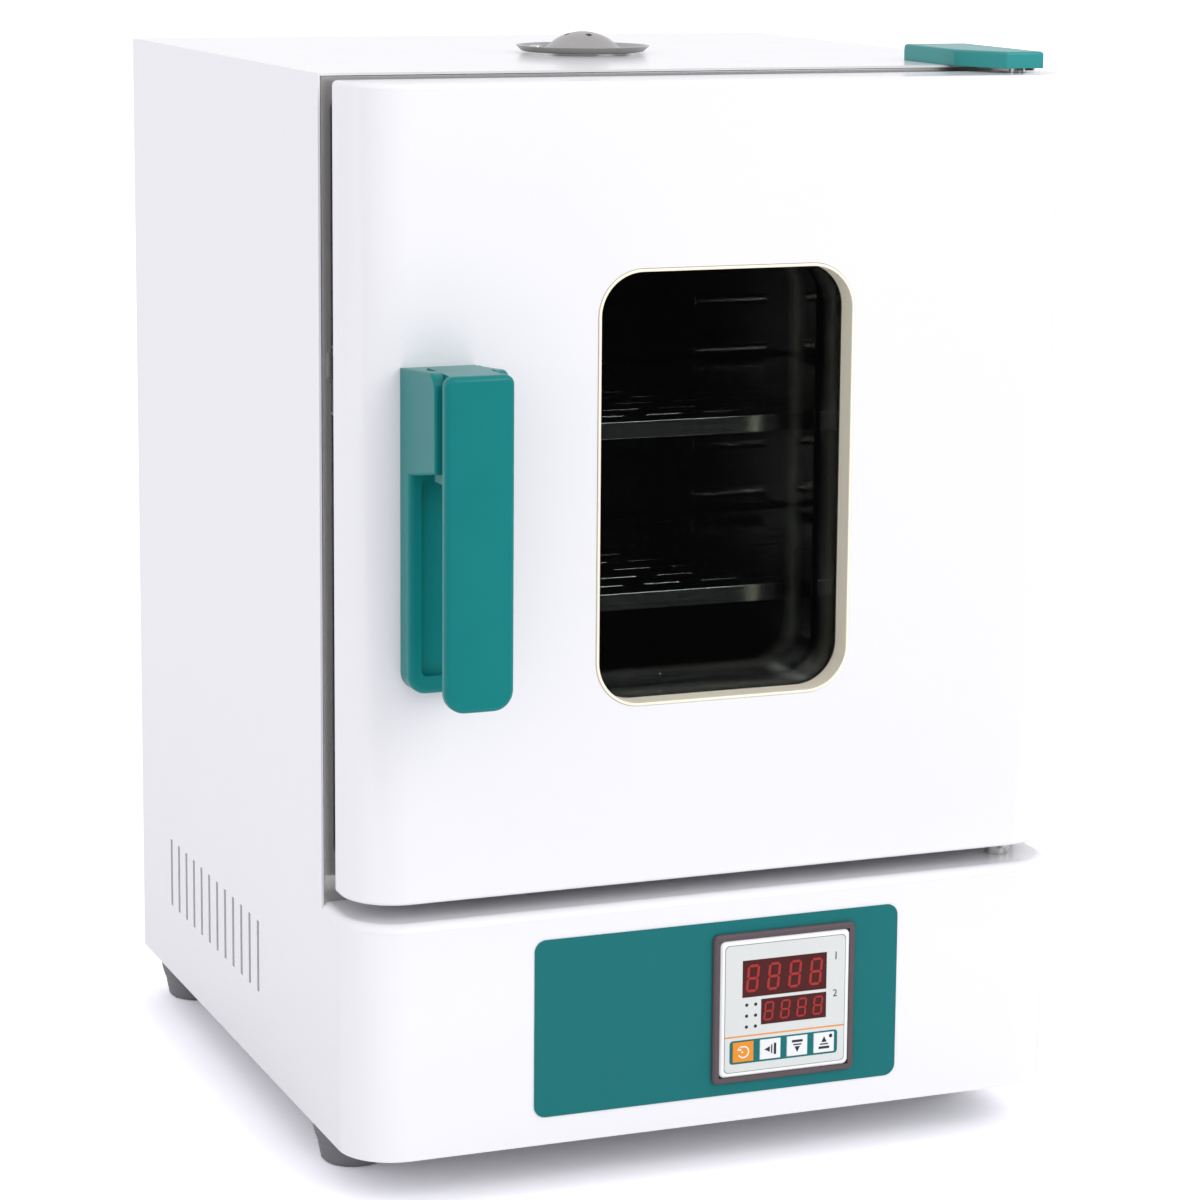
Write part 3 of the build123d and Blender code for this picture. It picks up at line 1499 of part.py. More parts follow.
# Striker on the front frame: a plate, two ears and the bar above the latch blade
y_striker_pin = y_mouth - striker_pin_setback
z_striker_pin = z_pivot + latch_bar_height / 2 + striker_clearance + striker_pin_radius
with BuildPart() as latch_striker:
    with BuildSketch(across(y_mouth)):
        with Locations((x_latch, z_pivot)):
            RectangleRounded(striker_width, striker_height, striker_ear_radius)
    extrude(amount=striker_sheet)
    with BuildSketch(along(x_latch)) as ear_side:
        with Locations((y_mouth - striker_sheet / 2, z_striker_pin)):
            Rectangle(
                striker_reach - striker_sheet / 2,
                striker_ear_height,
                align=(Align.MAX, Align.CENTER),
            )
        fillet(ear_side.vertices().group_by(Axis.X)[0], striker_ear_radius)
    extrude(amount=striker_width / 2, both=True)
    with BuildSketch(across(y_mouth - striker_sheet)):
        with Locations((x_latch, z_striker_pin)):
            Rectangle(striker_width - 2 * striker_sheet, striker_ear_height)
    extrude(amount=striker_reach, mode=Mode.SUBTRACT)
    with BuildSketch(along(x_latch)):
        with Locations((y_striker_pin, z_striker_pin)):
            Circle(striker_pin_radius)
    extrude(amount=striker_width / 2, both=True)
save(latch_striker, "latch_striker")

# Control panel: the coloured label, the surround, the instrument and its windows and keys
x_controller = controller_offset
z_controller = z_base + label_rise
y_label = y_fascia - label_sheet
y_bezel = y_label - bezel_proud
with BuildPart() as control_label:
    with BuildSketch(across(y_fascia)):
        with Locations((label_offset, z_controller)):
            RectangleRounded(label_width, label_height, label_radius)
        with Locations((x_controller, z_controller)):
            Rectangle(controller_cutout, controller_cutout, mode=Mode.SUBTRACT)
    extrude(amount=label_sheet)
save(control_label, "control_label")

with BuildPart() as controller_surround:
    with BuildSketch(across(y_label)):
        with Locations((x_controller, z_controller)):
            RectangleRounded(surround_size, surround_size, bezel_proud)
            Rectangle(controller_size + 2 * fit, controller_size + 2 * fit, mode=Mode.SUBTRACT)
    extrude(amount=surround_thickness)
    chamfer(controller_surround.faces().sort_by(Axis.Y)[0].outer_wire().edges(), bezel_chamfer)
save(controller_surround, "controller_surround")

display_places = [
    (display_upper, display_upper_place),
    (display_lower, display_lower_place),
]
z_keys = z_controller - key_strip_drop
key_places = [
    (x_controller + display_upper_place[0] + (key - (key_count - 1) / 2) * key_pitch, z_keys)
    for key in range(key_count)
]
y_key = y_bezel + key_strip_depth - key_proud
with BuildPart() as controller_body:
    with BuildSketch(across(y_label)):
        with Locations((x_controller, z_controller)):
            RectangleRounded(controller_size, controller_size, bezel_proud)
    extrude(amount=bezel_proud)
    chamfer(controller_body.faces().sort_by(Axis.Y)[0].edges(), bezel_chamfer)
    with BuildSketch(across(y_label)):
        with Locations((x_controller, z_controller)):
            Rectangle(controller_case, controller_case)
    extrude(amount=-controller_case_depth)
    with BuildSketch(across(y_bezel)):
        for size, place in display_places:
            with Locations((x_controller + place[0], z_controller + place[1])):
                Rectangle(*size)
    extrude(amount=-display_depth, mode=Mode.SUBTRACT)
    with BuildSketch(across(y_bezel)):
        with Locations((x_controller + display_upper_place[0], z_keys)):
            RectangleRounded(*key_strip, key_strip_radius)
    extrude(amount=-key_strip_depth, mode=Mode.SUBTRACT)
    with BuildSketch(across(y_bezel)):
        with Locations(*key_places):
            Rectangle(key_size[0] + 2 * running, key_size[1] + 2 * running)
    extrude(amount=-(key_length + key_travel), mode=Mode.SUBTRACT)
save(controller_body, "controller_body")

with BuildPart() as display_windows:
    with BuildSketch(across(y_bezel + display_depth)):
        for size, place in display_places:
            with Locations((x_controller + place[0], z_controller + place[1])):
                Rectangle(size[0] - 2 * fit, size[1] - 2 * fit)
    extrude(amount=display_depth - fit)
save(display_windows, "display_windows")

for number, place in enumerate(key_places, start=1):
    with BuildPart() as key:
        with BuildSketch(across(y_key)):
            with Locations(place):
                Rectangle(*key_size)
        extrude(amount=-key_length)
        fillet(key.faces().sort_by(Axis.Y)[0].edges(), key_travel)
    save(key, f"key_{number}")

# Power inlet: a flanged socket with three pins
y_inlet_face = y_rear + inlet_flange_height
inlet_pin_places = [
    (inlet_offset - inlet_pin_pitch, z_fitting + inlet_pin_rise),
    (inlet_offset, z_fitting + inlet_pin_rise + inlet_pin_stagger),
    (inlet_offset + inlet_pin_pitch, z_fitting + inlet_pin_rise),
]
with BuildPart() as power_inlet:
    with BuildSketch(across(y_rear)):
        with Locations((inlet_offset, z_fitting)):
            RectangleRounded(*inlet_flange, inlet_key)
    extrude(amount=-inlet_flange_height)
    with BuildSketch(across(y_rear)):
        with Locations((inlet_offset, z_fitting)):
            Rectangle(*inlet_body)
    extrude(amount=inlet_body_depth)
    with BuildSketch(across(y_inlet_face)) as socket_front:
        with Locations((inlet_offset, z_fitting)):
            Rectangle(*inlet_socket)
        chamfer(socket_front.vertices().group_by(Axis.Y)[-1], inlet_key)
    extrude(amount=inlet_socket_depth, mode=Mode.SUBTRACT)
    with BuildSketch(across(y_inlet_face - inlet_socket_depth)):
        with Locations(*inlet_pin_places):
            Rectangle(*inlet_pin)
    extrude(amount=-inlet_pin_length)
save(power_inlet, "power_inlet")

# Mains switch: its housing, and the rocker that turns in it about an upright axle
x_rocker = rocker_offset
y_rocker_face = y_rear + rocker_flange_height
y_rocker_axle = y_rocker_face - rocker_sink
rocker_radius = sqrt(rocker_half_length**2 + rocker_crest**2)
well_depth = rocker_radius * sin(radians(rocker_tilt)) + rocker_crest + rocker_sink + 1
with BuildPart() as rocker_housing:
    with BuildSketch(across(y_rear)):
        with Locations((x_rocker, z_fitting)):
            RectangleRounded(*rocker_flange, rocker_flange_height)
    extrude(amount=-rocker_flange_height)
    with BuildSketch(across(y_rear)):
        with Locations((x_rocker, z_fitting)):
            Rectangle(*rocker_body)
    extrude(amount=rocker_body_depth)
    with BuildSketch(across(y_rocker_face)):
        with Locations((x_rocker, z_fitting)):
            Rectangle(2 * (rocker_radius + running), rocker_height + 2 * running)
    extrude(amount=well_depth, mode=Mode.SUBTRACT)
    with BuildSketch(Plane.XY.offset(z_fitting)):
        with Locations((x_rocker, y_rocker_axle)):
            Circle(rocker_axle_radius + pin_clearance)
    extrude(amount=rocker_height / 2 + rocker_axle_reach + running, both=True, mode=Mode.SUBTRACT)
save(rocker_housing, "rocker_housing")

rocker_plane = Plane(origin=(x_rocker, y_rocker_axle, z_fitting)).rotated((0, 0, -rocker_tilt))
with BuildPart() as power_rocker:
    with BuildSketch(rocker_plane):
        with BuildLine():
            left_side = ThreePointArc(
                (-rocker_half_length, rocker_crest),
                (-rocker_radius, 0),
                (-rocker_half_length, -rocker_crest),
            )
            right_side = ThreePointArc(
                (rocker_half_length, -rocker_crest),
                (rocker_radius, 0),
                (rocker_half_length, rocker_crest),
            )
            Line(left_side @ 1, right_side @ 0)
            Polyline(right_side @ 1, (0, rocker_crest - rocker_valley), left_side @ 0)
        make_face()
    extrude(amount=rocker_height / 2, both=True)
    with BuildSketch(rocker_plane):
        Circle(rocker_axle_radius)
    extrude(amount=rocker_height / 2 + rocker_axle_reach, both=True)
save(power_rocker, "power_rocker")

# Fuse holder: flange and screw cap outside, barrel inside
with BuildPart() as fuse_holder:
    with BuildSketch(across(y_rear)):
        with Locations((fuse_offset, z_fitting)):
            Circle(fuse_flange_radius)
    extrude(amount=-fuse_flange_height)
    with BuildSketch(across(y_rear)):
        with Locations((fuse_offset, z_fitting)):
            Circle(fuse_cap_radius)
    extrude(amount=-fuse_cap_reach)
    chamfer(fuse_holder.edges().group_by(Axis.Y)[-1], fuse_cap_chamfer)
    with BuildSketch(across(y_rear)):
        with Locations((fuse_offset, z_fitting)):
            Circle(fuse_body_radius)
    extrude(amount=fuse_body_depth)
    with BuildSketch(across(y_rear + fuse_cap_reach)):
        with Locations((fuse_offset, z_fitting)):
            Rectangle(*fuse_slot)
    extrude(amount=fuse_slot_depth, mode=Mode.SUBTRACT)
save(fuse_holder, "fuse_holder")

# Heat sink on the base plate, its fins downwards, and the relay on top of it
z_plate = z_base + sheet
z_relay = z_plate + sink_fin_height + sink_base
y_relay = y_rear - relay_back
sink_fin_pitch = (sink_size[0] - sink_fin_thickness) / (sink_fin_count - 1)
with BuildPart() as heat_sink:
    with BuildSketch(Plane.XY.offset(z_plate + sink_fin_height)):
        with Locations((relay_offset, y_relay)):
            Rectangle(*sink_size)
    extrude(amount=sink_base)
    with BuildSketch(Plane.XY.offset(z_plate)):
        with Locations((relay_offset, y_relay)):
            with GridLocations(sink_fin_pitch, 1, sink_fin_count, 1):
                Rectangle(sink_fin_thickness, sink_size[1])
    extrude(amount=sink_fin_height)
save(heat_sink, "heat_sink")

relay_width, relay_length, relay_height = relay_size
with BuildPart() as solid_state_relay:
    with BuildSketch(Plane.XY.offset(z_relay)):
        with Locations((relay_offset, y_relay)):
            Rectangle(relay_width, relay_length)
    extrude(amount=relay_height)
    with BuildSketch(Plane.XY.offset(z_relay + relay_height)):
        with Locations((relay_offset, y_relay)):
            with GridLocations(relay_width, relay_length - relay_step_length, 1, 2):
                Rectangle(relay_width, relay_step_length)
    extrude(amount=-relay_step_drop, mode=Mode.SUBTRACT)
    with BuildSketch(Plane.XY.offset(z_relay + relay_height - relay_step_drop)):
        with Locations((relay_offset, y_relay)):
            with GridLocations(relay_screw_pitch, relay_length - relay_step_length, 2, 2):
                Circle(relay_screw_radius)
    extrude(amount=relay_screw_height)
save(solid_state_relay, "solid_state_relay")

# Terminal block on the base plate: stepped, with a wire mouth and a screw recess for each way
y_terminal = y_rear - terminal_back
terminal_pitch = terminal_size[0] / terminal_ways
z_terminal_step = z_plate + terminal_height - terminal_step
with BuildPart() as terminal_block:
    with BuildSketch(Plane.XY.offset(z_plate)):
        with Locations((terminal_offset, y_terminal)):
            Rectangle(*terminal_size)
    extrude(amount=terminal_height)
    with BuildSketch(Plane.XY.offset(z_plate + terminal_height)):
        with Locations((terminal_offset, y_terminal)):
            with GridLocations(1, terminal_size[1] - terminal_step, 1, 2):
                Rectangle(terminal_size[0], terminal_step)
    extrude(amount=-terminal_step, mode=Mode.SUBTRACT)
    with BuildSketch(Plane.XY.offset(z_plate + terminal_height)):
        with Locations((terminal_offset, y_terminal)):
            with GridLocations(terminal_pitch, 1, terminal_ways, 1):
                Circle(terminal_screw_radius)
    extrude(amount=-terminal_step, mode=Mode.SUBTRACT)
    for y in (y_terminal - terminal_size[1] / 2, y_terminal + terminal_size[1] / 2 - terminal_mouth_depth):
        with BuildSketch(across(y + terminal_mouth_depth)):
            with Locations((terminal_offset, (z_plate + z_terminal_step) / 2)):
                with GridLocations(terminal_pitch, 1, terminal_ways, 1):
                    Rectangle(*terminal_mouth)
        extrude(amount=terminal_mouth_depth, mode=Mode.SUBTRACT)
save(terminal_block, "terminal_block")
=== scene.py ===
import json
from math import cos, pi, radians, sin

import bmesh
import bpy
from bpy.props import FloatProperty, FloatVectorProperty, IntProperty, PointerProperty
from mathutils import Matrix, Vector


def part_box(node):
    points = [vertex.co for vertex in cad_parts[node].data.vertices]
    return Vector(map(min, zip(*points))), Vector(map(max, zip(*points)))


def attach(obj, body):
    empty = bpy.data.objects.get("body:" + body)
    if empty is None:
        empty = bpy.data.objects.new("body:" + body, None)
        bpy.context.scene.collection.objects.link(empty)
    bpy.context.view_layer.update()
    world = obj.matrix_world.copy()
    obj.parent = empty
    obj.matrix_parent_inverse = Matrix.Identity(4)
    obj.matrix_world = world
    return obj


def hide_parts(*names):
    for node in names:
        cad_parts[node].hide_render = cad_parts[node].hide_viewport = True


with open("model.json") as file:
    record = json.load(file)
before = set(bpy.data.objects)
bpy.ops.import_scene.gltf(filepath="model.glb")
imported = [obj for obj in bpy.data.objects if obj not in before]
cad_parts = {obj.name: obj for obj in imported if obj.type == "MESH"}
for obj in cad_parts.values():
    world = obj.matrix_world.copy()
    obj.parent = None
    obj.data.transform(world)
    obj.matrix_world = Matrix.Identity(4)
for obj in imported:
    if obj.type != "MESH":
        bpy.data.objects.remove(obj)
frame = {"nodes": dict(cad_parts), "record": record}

bl_info = {
    "name": "Drying Oven",
    "version": (1, 0, 0),
    "blender": (4, 5, 0),
    "location": "View3D > Sidebar > Drying Oven",
    "description": "Gives the solids of a drying oven their finishes and their fine detail",
    "category": "Object",
}

MM = 0.001
MICRON = 0.000001

# What gloss and glass see of the studio: how dark its dark part is, and between which values of a ray's Z and
# Y it turns bright
DARK = 0.02
BRIGHT_ABOVE = (0.12, 0.5)
BRIGHT_BEHIND = (-0.35, 0.1)

# Colours of the studio: the floor as the oven and as the camera sees it, the brightness of the lit table, and
# the light tent as it lights the oven and as gloss sees it
FLOOR_WHITE = (0.9, 0.9, 0.92, 1)
FLOOR_SEEN = (1.46, 1.45, 1.5, 1)
TABLE_BRIGHT = 0.9
TENT_LIGHT = (0.97, 0.96, 1, 1)
TENT_MIRRORED = (0.98, 0.98, 1, 1)
WHITE = (1, 1, 1, 1)

GLASS_TINT = (0.86, 0.89, 0.88, 1)

# Places of sockets that share their names with others of their node: the share, the two colours and the result
# of a mix of colours, and the highest value and the result of a random number
MIX_SHARE, MIX_FIRST, MIX_SECOND, MIX_RESULT = 0, 6, 7, 2
RANDOM_HIGHEST, RANDOM_RESULT = 3, 1

# Rounding of moulded and turned edges that the solids leave sharp
SOFT_EDGES = {
    "feet": 0.5 * MM, "window_gasket": 0.3 * MM, "hinge_cover": 0.3 * MM, "hinge_bracket": 0.15 * MM,
    "hinge_pin_upper": 0.15 * MM, "hinge_pin_lower": 0.15 * MM, "hinge_bushes": 0.15 * MM,
    "handle_base": 0.3 * MM, "handle_grip": 0.3 * MM, "handle_pin": 0.2 * MM, "latch_arm": 0.2 * MM,
    "latch_striker": 0.2 * MM, "controller_surround": 0.25 * MM, "controller_body": 0.7 * MM,
    "key_1": 0.15 * MM, "key_2": 0.15 * MM, "key_3": 0.15 * MM, "key_4": 0.15 * MM,
    "power_inlet": 0.3 * MM, "rocker_housing": 0.3 * MM, "power_rocker": 0.3 * MM, "fuse_holder": 0.3 * MM,
}

# A display: the digits' height as a share of the window's, their width as a share of their pitch, a bar's
# width as a share of their height, the gap beside it as a share of its width, and the digits' lean
DIGIT_HEIGHT = 0.74
DIGIT_WIDTH = 0.58
BAR_WIDTH = 0.095
BAR_GAP = 0.14
SLANT = 0.09

# A cross recess: an arm's reach as a share of the head's radius, the floor's width as a share of the rim's,
# and the floor's height as a share of the head's
RECESS_REACH = 0.48
RECESS_TAPER = 0.7
RECESS_FLOOR = 0.35

# Layout of the instrument's face, from the middle of the instrument
FACE_RADIUS = 2.4 * MM
STRIP_SIZE = (60.5 * MM, 12.5 * MM)
STRIP_RADIUS = 1.8 * MM
STRIP_SINK = 0.4 * MM
KEY_WINDOW_GAP = 0.075 * MM
KEY_WINDOW_RADIUS = 0.8 * MM
LINE_DROP = 14.7 * MM
LAMP_COLUMNS = (-21.5 * MM, -16.5 * MM)
LAMP_ROWS = (1.6 * MM, -4.2 * MM, -10 * MM)
LAMP_RADIUS = 0.9 * MM
ARROW_TURNS = {2: 90, 3: 180, 4: 0}
NUMBER_PLACES = {"1": (28.2 * MM, 22.5 * MM, 6 * MM), "2": (28 * MM, 2.6 * MM, 5.4 * MM)}

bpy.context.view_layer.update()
RECORD = frame["record"]
SLOT_OF = {part["node"]: part["material_slot"] for part in RECORD["subparts"]}
BODY_OF = {node: body for body, nodes in RECORD["behaviour"]["bodies"].items() for node in nodes}


def colour_setting(name, description, default):
    """A linear colour that a user may change."""
    return FloatVectorProperty(
        name=name, description=description, default=default, subtype="COLOR", size=3, min=0, max=1
    )


def length_setting(name, description, default):
    """A length in metres that a user may change."""
    return FloatProperty(
        name=name, description=description, default=default, min=0, unit="LENGTH", subtype="DISTANCE"
    )


class OvenColours(bpy.types.PropertyGroup):
    """Colours of the oven's finishes."""

    enamel: colour_setting("Enamel", "Baked coat on casing and door", (0.8, 0.8, 0.815))
    teal: colour_setting("Teal plastic", "Handle and its base", (0.004, 0.185, 0.18))
    cover: colour_setting("Hinge cover", "Moulded cover of the hinge", (0.03, 0.27, 0.26))
    film: colour_setting("Label film", "Printed film on the fascia", (0.01, 0.152, 0.156))
    gasket: colour_setting("Window gasket", "Silicone round the window", (0.9, 0.84, 0.68))
    rubber: colour_setting("Foot rubber", "The four feet", (0.185, 0.183, 0.19))
    surround: colour_setting("Surround", "Frame round the instrument", (0.098, 0.073, 0.08))
    face: colour_setting("Instrument face", "Front film of the instrument", (0.64, 0.66, 0.64))
    rim: colour_setting("Instrument rim", "Moulded rim of the instrument", (0.83, 0.84, 0.83))
    window: colour_setting("Display window", "Dark red window of a display", (0.062, 0.003, 0.003))
    segment: colour_setting("Display segment", "Bar of a display that isn't lit", (0.36, 0.011, 0.008))
    orange: colour_setting("Orange", "Set key and the line on the instrument", (0.76, 0.27, 0.018))
    ink: colour_setting("Ink", "Printed marks", (0.012, 0.012, 0.014))


class OvenSizes(bpy.types.PropertyGroup):
    """Sizes of the details that the solids don't hold."""

    edge_softness: length_setting("Edge softness", "Rounding on the edges of sheet", 0.35 * MM)
    film_thickness: length_setting("Film thickness", "Thickness of films and prints", 0.12 * MM)
    rim_width: length_setting("Rim width", "Width of the instrument's rim", 2.6 * MM)
    # Width of the flat dark ring that paints the shade in the groove between rim and face
    rim_line: length_setting("Rim line", "Groove between rim and face", 0.35 * MM)
    line_width: length_setting("Line width", "Width of the orange line", 0.75 * MM)
    screw_recess: length_setting("Screw recess", "Arm width of a cross recess", 0.9 * MM)
    digits: IntProperty(name="Digits", description="Digits in each display", default=4, min=1, max=8)


class OvenStage(bpy.types.PropertyGroup):
    """Camera and light of the studio."""

    camera_place: FloatVectorProperty(
        name="Camera place", description="Where the camera stands", default=(-0.7277, -1.854, 0.6637),
        size=3, unit="LENGTH", subtype="TRANSLATION",
    )
    camera_yaw: FloatProperty(
        name="Yaw", description="Turn about the upright", default=radians(-22.0245),
        unit="ROTATION", subtype="ANGLE",
    )
    camera_pitch: FloatProperty(
        name="Pitch", description="Angle above the horizon", default=radians(-9.8136),
        unit="ROTATION", subtype="ANGLE",
    )
    camera_roll: FloatProperty(
        name="Roll", description="Turn about the line of sight", default=radians(0.5443),
        unit="ROTATION", subtype="ANGLE",
    )
    camera_lens: FloatProperty(
        name="Lens", description="Focal length in millimetres on a 36 mm sensor", default=111.66,
        subtype="DISTANCE_CAMERA",
    )
    camera_shift: FloatVectorProperty(
        name="Shift", description="Shift of the picture, in picture widths", default=(-0.02816, -0.08189),
        size=2,
    )
    ambient: FloatProperty(name="Ambient", description="Light from the sides of the tent", default=1.3, min=0)
    zenith: FloatProperty(name="Zenith", description="Light from straight above", default=0.9, min=0)
    key: FloatProperty(name="Key", description="Key light in watts", default=24, min=0)
    table_front: length_setting("Table front", "How far the lit table reaches in front of the oven", 0.8)
    table_edge: length_setting("Table edge", "Width of the table's fade to dark", 0.3)
    key_place: FloatVectorProperty(
        name="Key place", description="Where the key light hangs", default=(1.1, -2.3, 1.7),
        size=3, unit="LENGTH", subtype="TRANSLATION",
    )
    key_aim: FloatVectorProperty(
        name="Key aim", description="The point that the key light looks at", default=(0, 0, 0.3),
        size=3, unit="LENGTH", subtype="TRANSLATION",
    )
    key_size: length_setting("Key size", "Side of the key light", 1.6)


def colours():
    return bpy.context.scene.oven_colours


def sizes():
    return bpy.context.scene.oven_sizes


# Nodes and shared effects


def add_node(tree, kind, inputs=None, **settings):
    """A node with its settings, and its inputs set to values or linked to sockets."""
    made = tree.nodes.new(kind)
    for name, value in settings.items():
        setattr(made, name, value)
    for key, value in (inputs or {}).items():
        if isinstance(value, bpy.types.NodeSocket):
            tree.links.new(value, made.inputs[key])
        else:
            made.inputs[key].default_value = value
    return made


def calculate(tree, operation, *values):
    """What a math node makes of numbers or sockets."""
    return add_node(tree, "ShaderNodeMath", dict(enumerate(values)), operation=operation).outputs[0]


def noise(tree, vector, scale, **values):
    """A noise from 0 to 1."""
    return add_node(tree, "ShaderNodeTexNoise", {"Vector": vector, "Scale": scale, **values}).outputs["Fac"]


def either(tree, share, first, second):
    """The first shader where share is 0, and the second where it is 1."""
    return add_node(tree, "ShaderNodeMixShader", {0: share, 1: first, 2: second}).outputs[0]


def mirrored_rays(tree, path):
    """1 for rays that a gloss or a glass has sent on, from a light path node."""
    return calculate(tree, "MAXIMUM", path.outputs["Is Glossy Ray"], path.outputs["Is Transmission Ray"])


def effect_group(name, inputs, outputs):
    """An empty shader group that reads a Vector and named numbers, with its two end nodes."""
    group = bpy.data.node_groups.new(name, "ShaderNodeTree")
    group.interface.new_socket(name="Vector", in_out="INPUT", socket_type="NodeSocketVector")
    for label, value in inputs.items():
        socket = group.interface.new_socket(name=label, in_out="INPUT", socket_type="NodeSocketFloat")
        socket.default_value = value
    for label in outputs:
        group.interface.new_socket(name=label, in_out="OUTPUT", socket_type="NodeSocketFloat")
    return group, group.nodes.new("NodeGroupInput"), group.nodes.new("NodeGroupOutput")


def put_out(group, end, **sockets):
    for name, socket in sockets.items():
        group.links.new(socket, end.inputs[name])


def spread_gloss(group, source, start):
    """Roughness that varies by Spread about Gloss with a mask from 0 to 1."""
    centred = calculate(group, "SUBTRACT", source, 0.5)
    return calculate(group, "MULTIPLY_ADD", centred, start.outputs["Spread"], start.outputs["Gloss"])


def baked_coat_group():
    """Orange peel of a baked coat, with slow changes of gloss and tone."""
    group, start, end = effect_group(
        "baked_coat", {"Grain": 260, "Gloss": 0.22, "Spread": 0.08}, ("Height", "Gloss", "Tone")
    )
    peel = noise(group, start.outputs["Vector"], start.outputs["Grain"], Detail=1.5, Roughness=0.4)
    slow = noise(group, start.outputs["Vector"], 9, Detail=3)
    put_out(group, end, Height=peel, Tone=slow, Gloss=spread_gloss(group, slow, start))
    return group


def drawn_lines_group():
    """Fine lines of rolled and brushed metal. The vector is stretched along the lines."""
    group, start, end = effect_group(
        "drawn_lines", {"Grain": 900, "Gloss": 0.28, "Spread": 0.2}, ("Height", "Gloss", "Tone")
    )
    lines = noise(group, start.outputs["Vector"], start.outputs["Grain"], Detail=4, Roughness=0.65)
    broad = noise(group, start.outputs["Vector"], 24, Detail=2)
    tone = calculate(group, "MULTIPLY", lines, broad)
    put_out(group, end, Height=lines, Tone=tone, Gloss=spread_gloss(group, lines, start))
    return group


def moulded_skin_group():
    """Fine pebbled skin of moulded plastic and rubber."""
    group, start, end = effect_group(
        "moulded_skin", {"Grain": 1400, "Gloss": 0.4, "Spread": 0.12}, ("Height", "Gloss", "Tone")
    )
    pebbles = add_node(
        group, "ShaderNodeTexVoronoi",
        {"Vector": start.outputs["Vector"], "Scale": start.outputs["Grain"], "Smoothness": 0.7},
        feature="SMOOTH_F1",
    )
    slow = noise(group, start.outputs["Vector"], 30, Detail=4)
    put_out(group, end, Height=pebbles.outputs["Distance"], Tone=slow, Gloss=spread_gloss(group, slow, start))
    return group


def specks_group():
    """Sparse dust specks, as a mask from 0 to 1."""
    group, start, end = effect_group("dust_specks", {"Grain": 220, "Size": 0.12, "Share": 0.9}, ("Mask",))
    cells = add_node(
        group, "ShaderNodeTexVoronoi",
        {"Vector": start.outputs["Vector"], "Scale": start.outputs["Grain"]},
    )
    near = calculate(group, "LESS_THAN", cells.outputs["Distance"], start.outputs["Size"])
    chosen = calculate(group, "GREATER_THAN", cells.outputs["Color"], start.outputs["Share"])
    put_out(group, end, Mask=calculate(group, "MULTIPLY", near, chosen))
    return group


GROUP_MAKERS = {
    "baked_coat": baked_coat_group,
    "drawn_lines": drawn_lines_group,
    "moulded_skin": moulded_skin_group,
    "dust_specks": specks_group,
}


def shared_group(name):
    """The group of that name, built the first time that it is asked for."""
    return bpy.data.node_groups.get(name) or GROUP_MAKERS[name]()


# Finishes


def finish_name(name):
    """The name of a finish's material, apart from the frame's own material for the slot."""
    return f"{name}_finish"


def finished(
    name, colour, effect, grain, gloss, spread, relief, tone=0.08, stretch=(1, 1, 1), **shader_values
):
    """A material whose tone, gloss and relief come from one shared effect.

    relief is the depth of the surface in metres, and tone the share by which the colour varies.
    """
    material = bpy.data.materials.new(finish_name(name))
    material.use_nodes = True
    material.diffuse_color = (*colour, 1)
    tree = material.node_tree
    shader = tree.nodes["Principled BSDF"]
    where = add_node(tree, "ShaderNodeTexCoord")
    along = add_node(
        tree, "ShaderNodeMapping", {"Vector": where.outputs["Object"], "Scale": stretch}
    )
    skin = add_node(
        tree, "ShaderNodeGroup",
        {"Vector": along.outputs["Vector"], "Grain": grain, "Gloss": gloss, "Spread": spread},
        node_tree=shared_group(effect),
    )
    blend = add_node(
        tree, "ShaderNodeMix",
        {
            MIX_SHARE: skin.outputs["Tone"],
            MIX_FIRST: (*[channel * (1 - tone) for channel in colour], 1),
            MIX_SECOND: (*[min(1, channel * (1 + tone)) for channel in colour], 1),
        },
        data_type="RGBA",
    )
    bump = add_node(
        tree, "ShaderNodeBump", {"Height": skin.outputs["Height"], "Strength": 1, "Distance": relief}
    )
    tree.links.new(blend.outputs[MIX_RESULT], shader.inputs["Base Color"])
    tree.links.new(skin.outputs["Gloss"], shader.inputs["Roughness"])
    tree.links.new(bump.outputs["Normal"], shader.inputs["Normal"])
    for label, value in shader_values.items():
        shader.inputs[label.replace("_", " ")].default_value = value
    return material


def add_specks(material, colour, grain, size, share):
    """Lay dust specks over a finished material's colour."""
    tree = material.node_tree
    shader = tree.nodes["Principled BSDF"]
    below = shader.inputs["Base Color"].links[0].from_socket
    where = add_node(tree, "ShaderNodeTexCoord")
    specks = add_node(
        tree, "ShaderNodeGroup",
        {"Vector": where.outputs["Object"], "Grain": grain, "Size": size, "Share": share},
        node_tree=shared_group("dust_specks"),
    )
    over = add_node(
        tree, "ShaderNodeMix",
        {MIX_SHARE: specks.outputs["Mask"], MIX_FIRST: below, MIX_SECOND: (*colour, 1)}, data_type="RGBA",
    )
    tree.links.new(over.outputs[MIX_RESULT], shader.inputs["Base Color"])
    return material


def white_enamel():
    return finished(
        "white_enamel", colours().enamel, "baked_coat",
        grain=240, gloss=0.2, spread=0.06, relief=1.5 * MICRON, tone=0.012,
        Coat_Weight=0.25, Coat_Roughness=0.08,
    )


def zinc_sheet():
    return finished(
        "zinc_sheet", (0.56, 0.57, 0.59), "drawn_lines",
        grain=160, gloss=0.38, spread=0.2, relief=12 * MICRON, tone=0.2,
        stretch=(1, 0.4, 0.4), Metallic=1,
    )


def stainless():
    return finished(
        "stainless", (0.52, 0.51, 0.49), "drawn_lines",
        grain=700, gloss=0.14, spread=0.1, relief=4 * MICRON, tone=0.12,
        stretch=(0.04, 1, 1), Metallic=1,
    )


def polished_steel():
    return finished(
        "polished_steel", (0.66, 0.65, 0.63), "drawn_lines",
        grain=900, gloss=0.16, spread=0.12, relief=3 * MICRON, tone=0.08,
        stretch=(0.08, 1, 1), Metallic=1,
    )


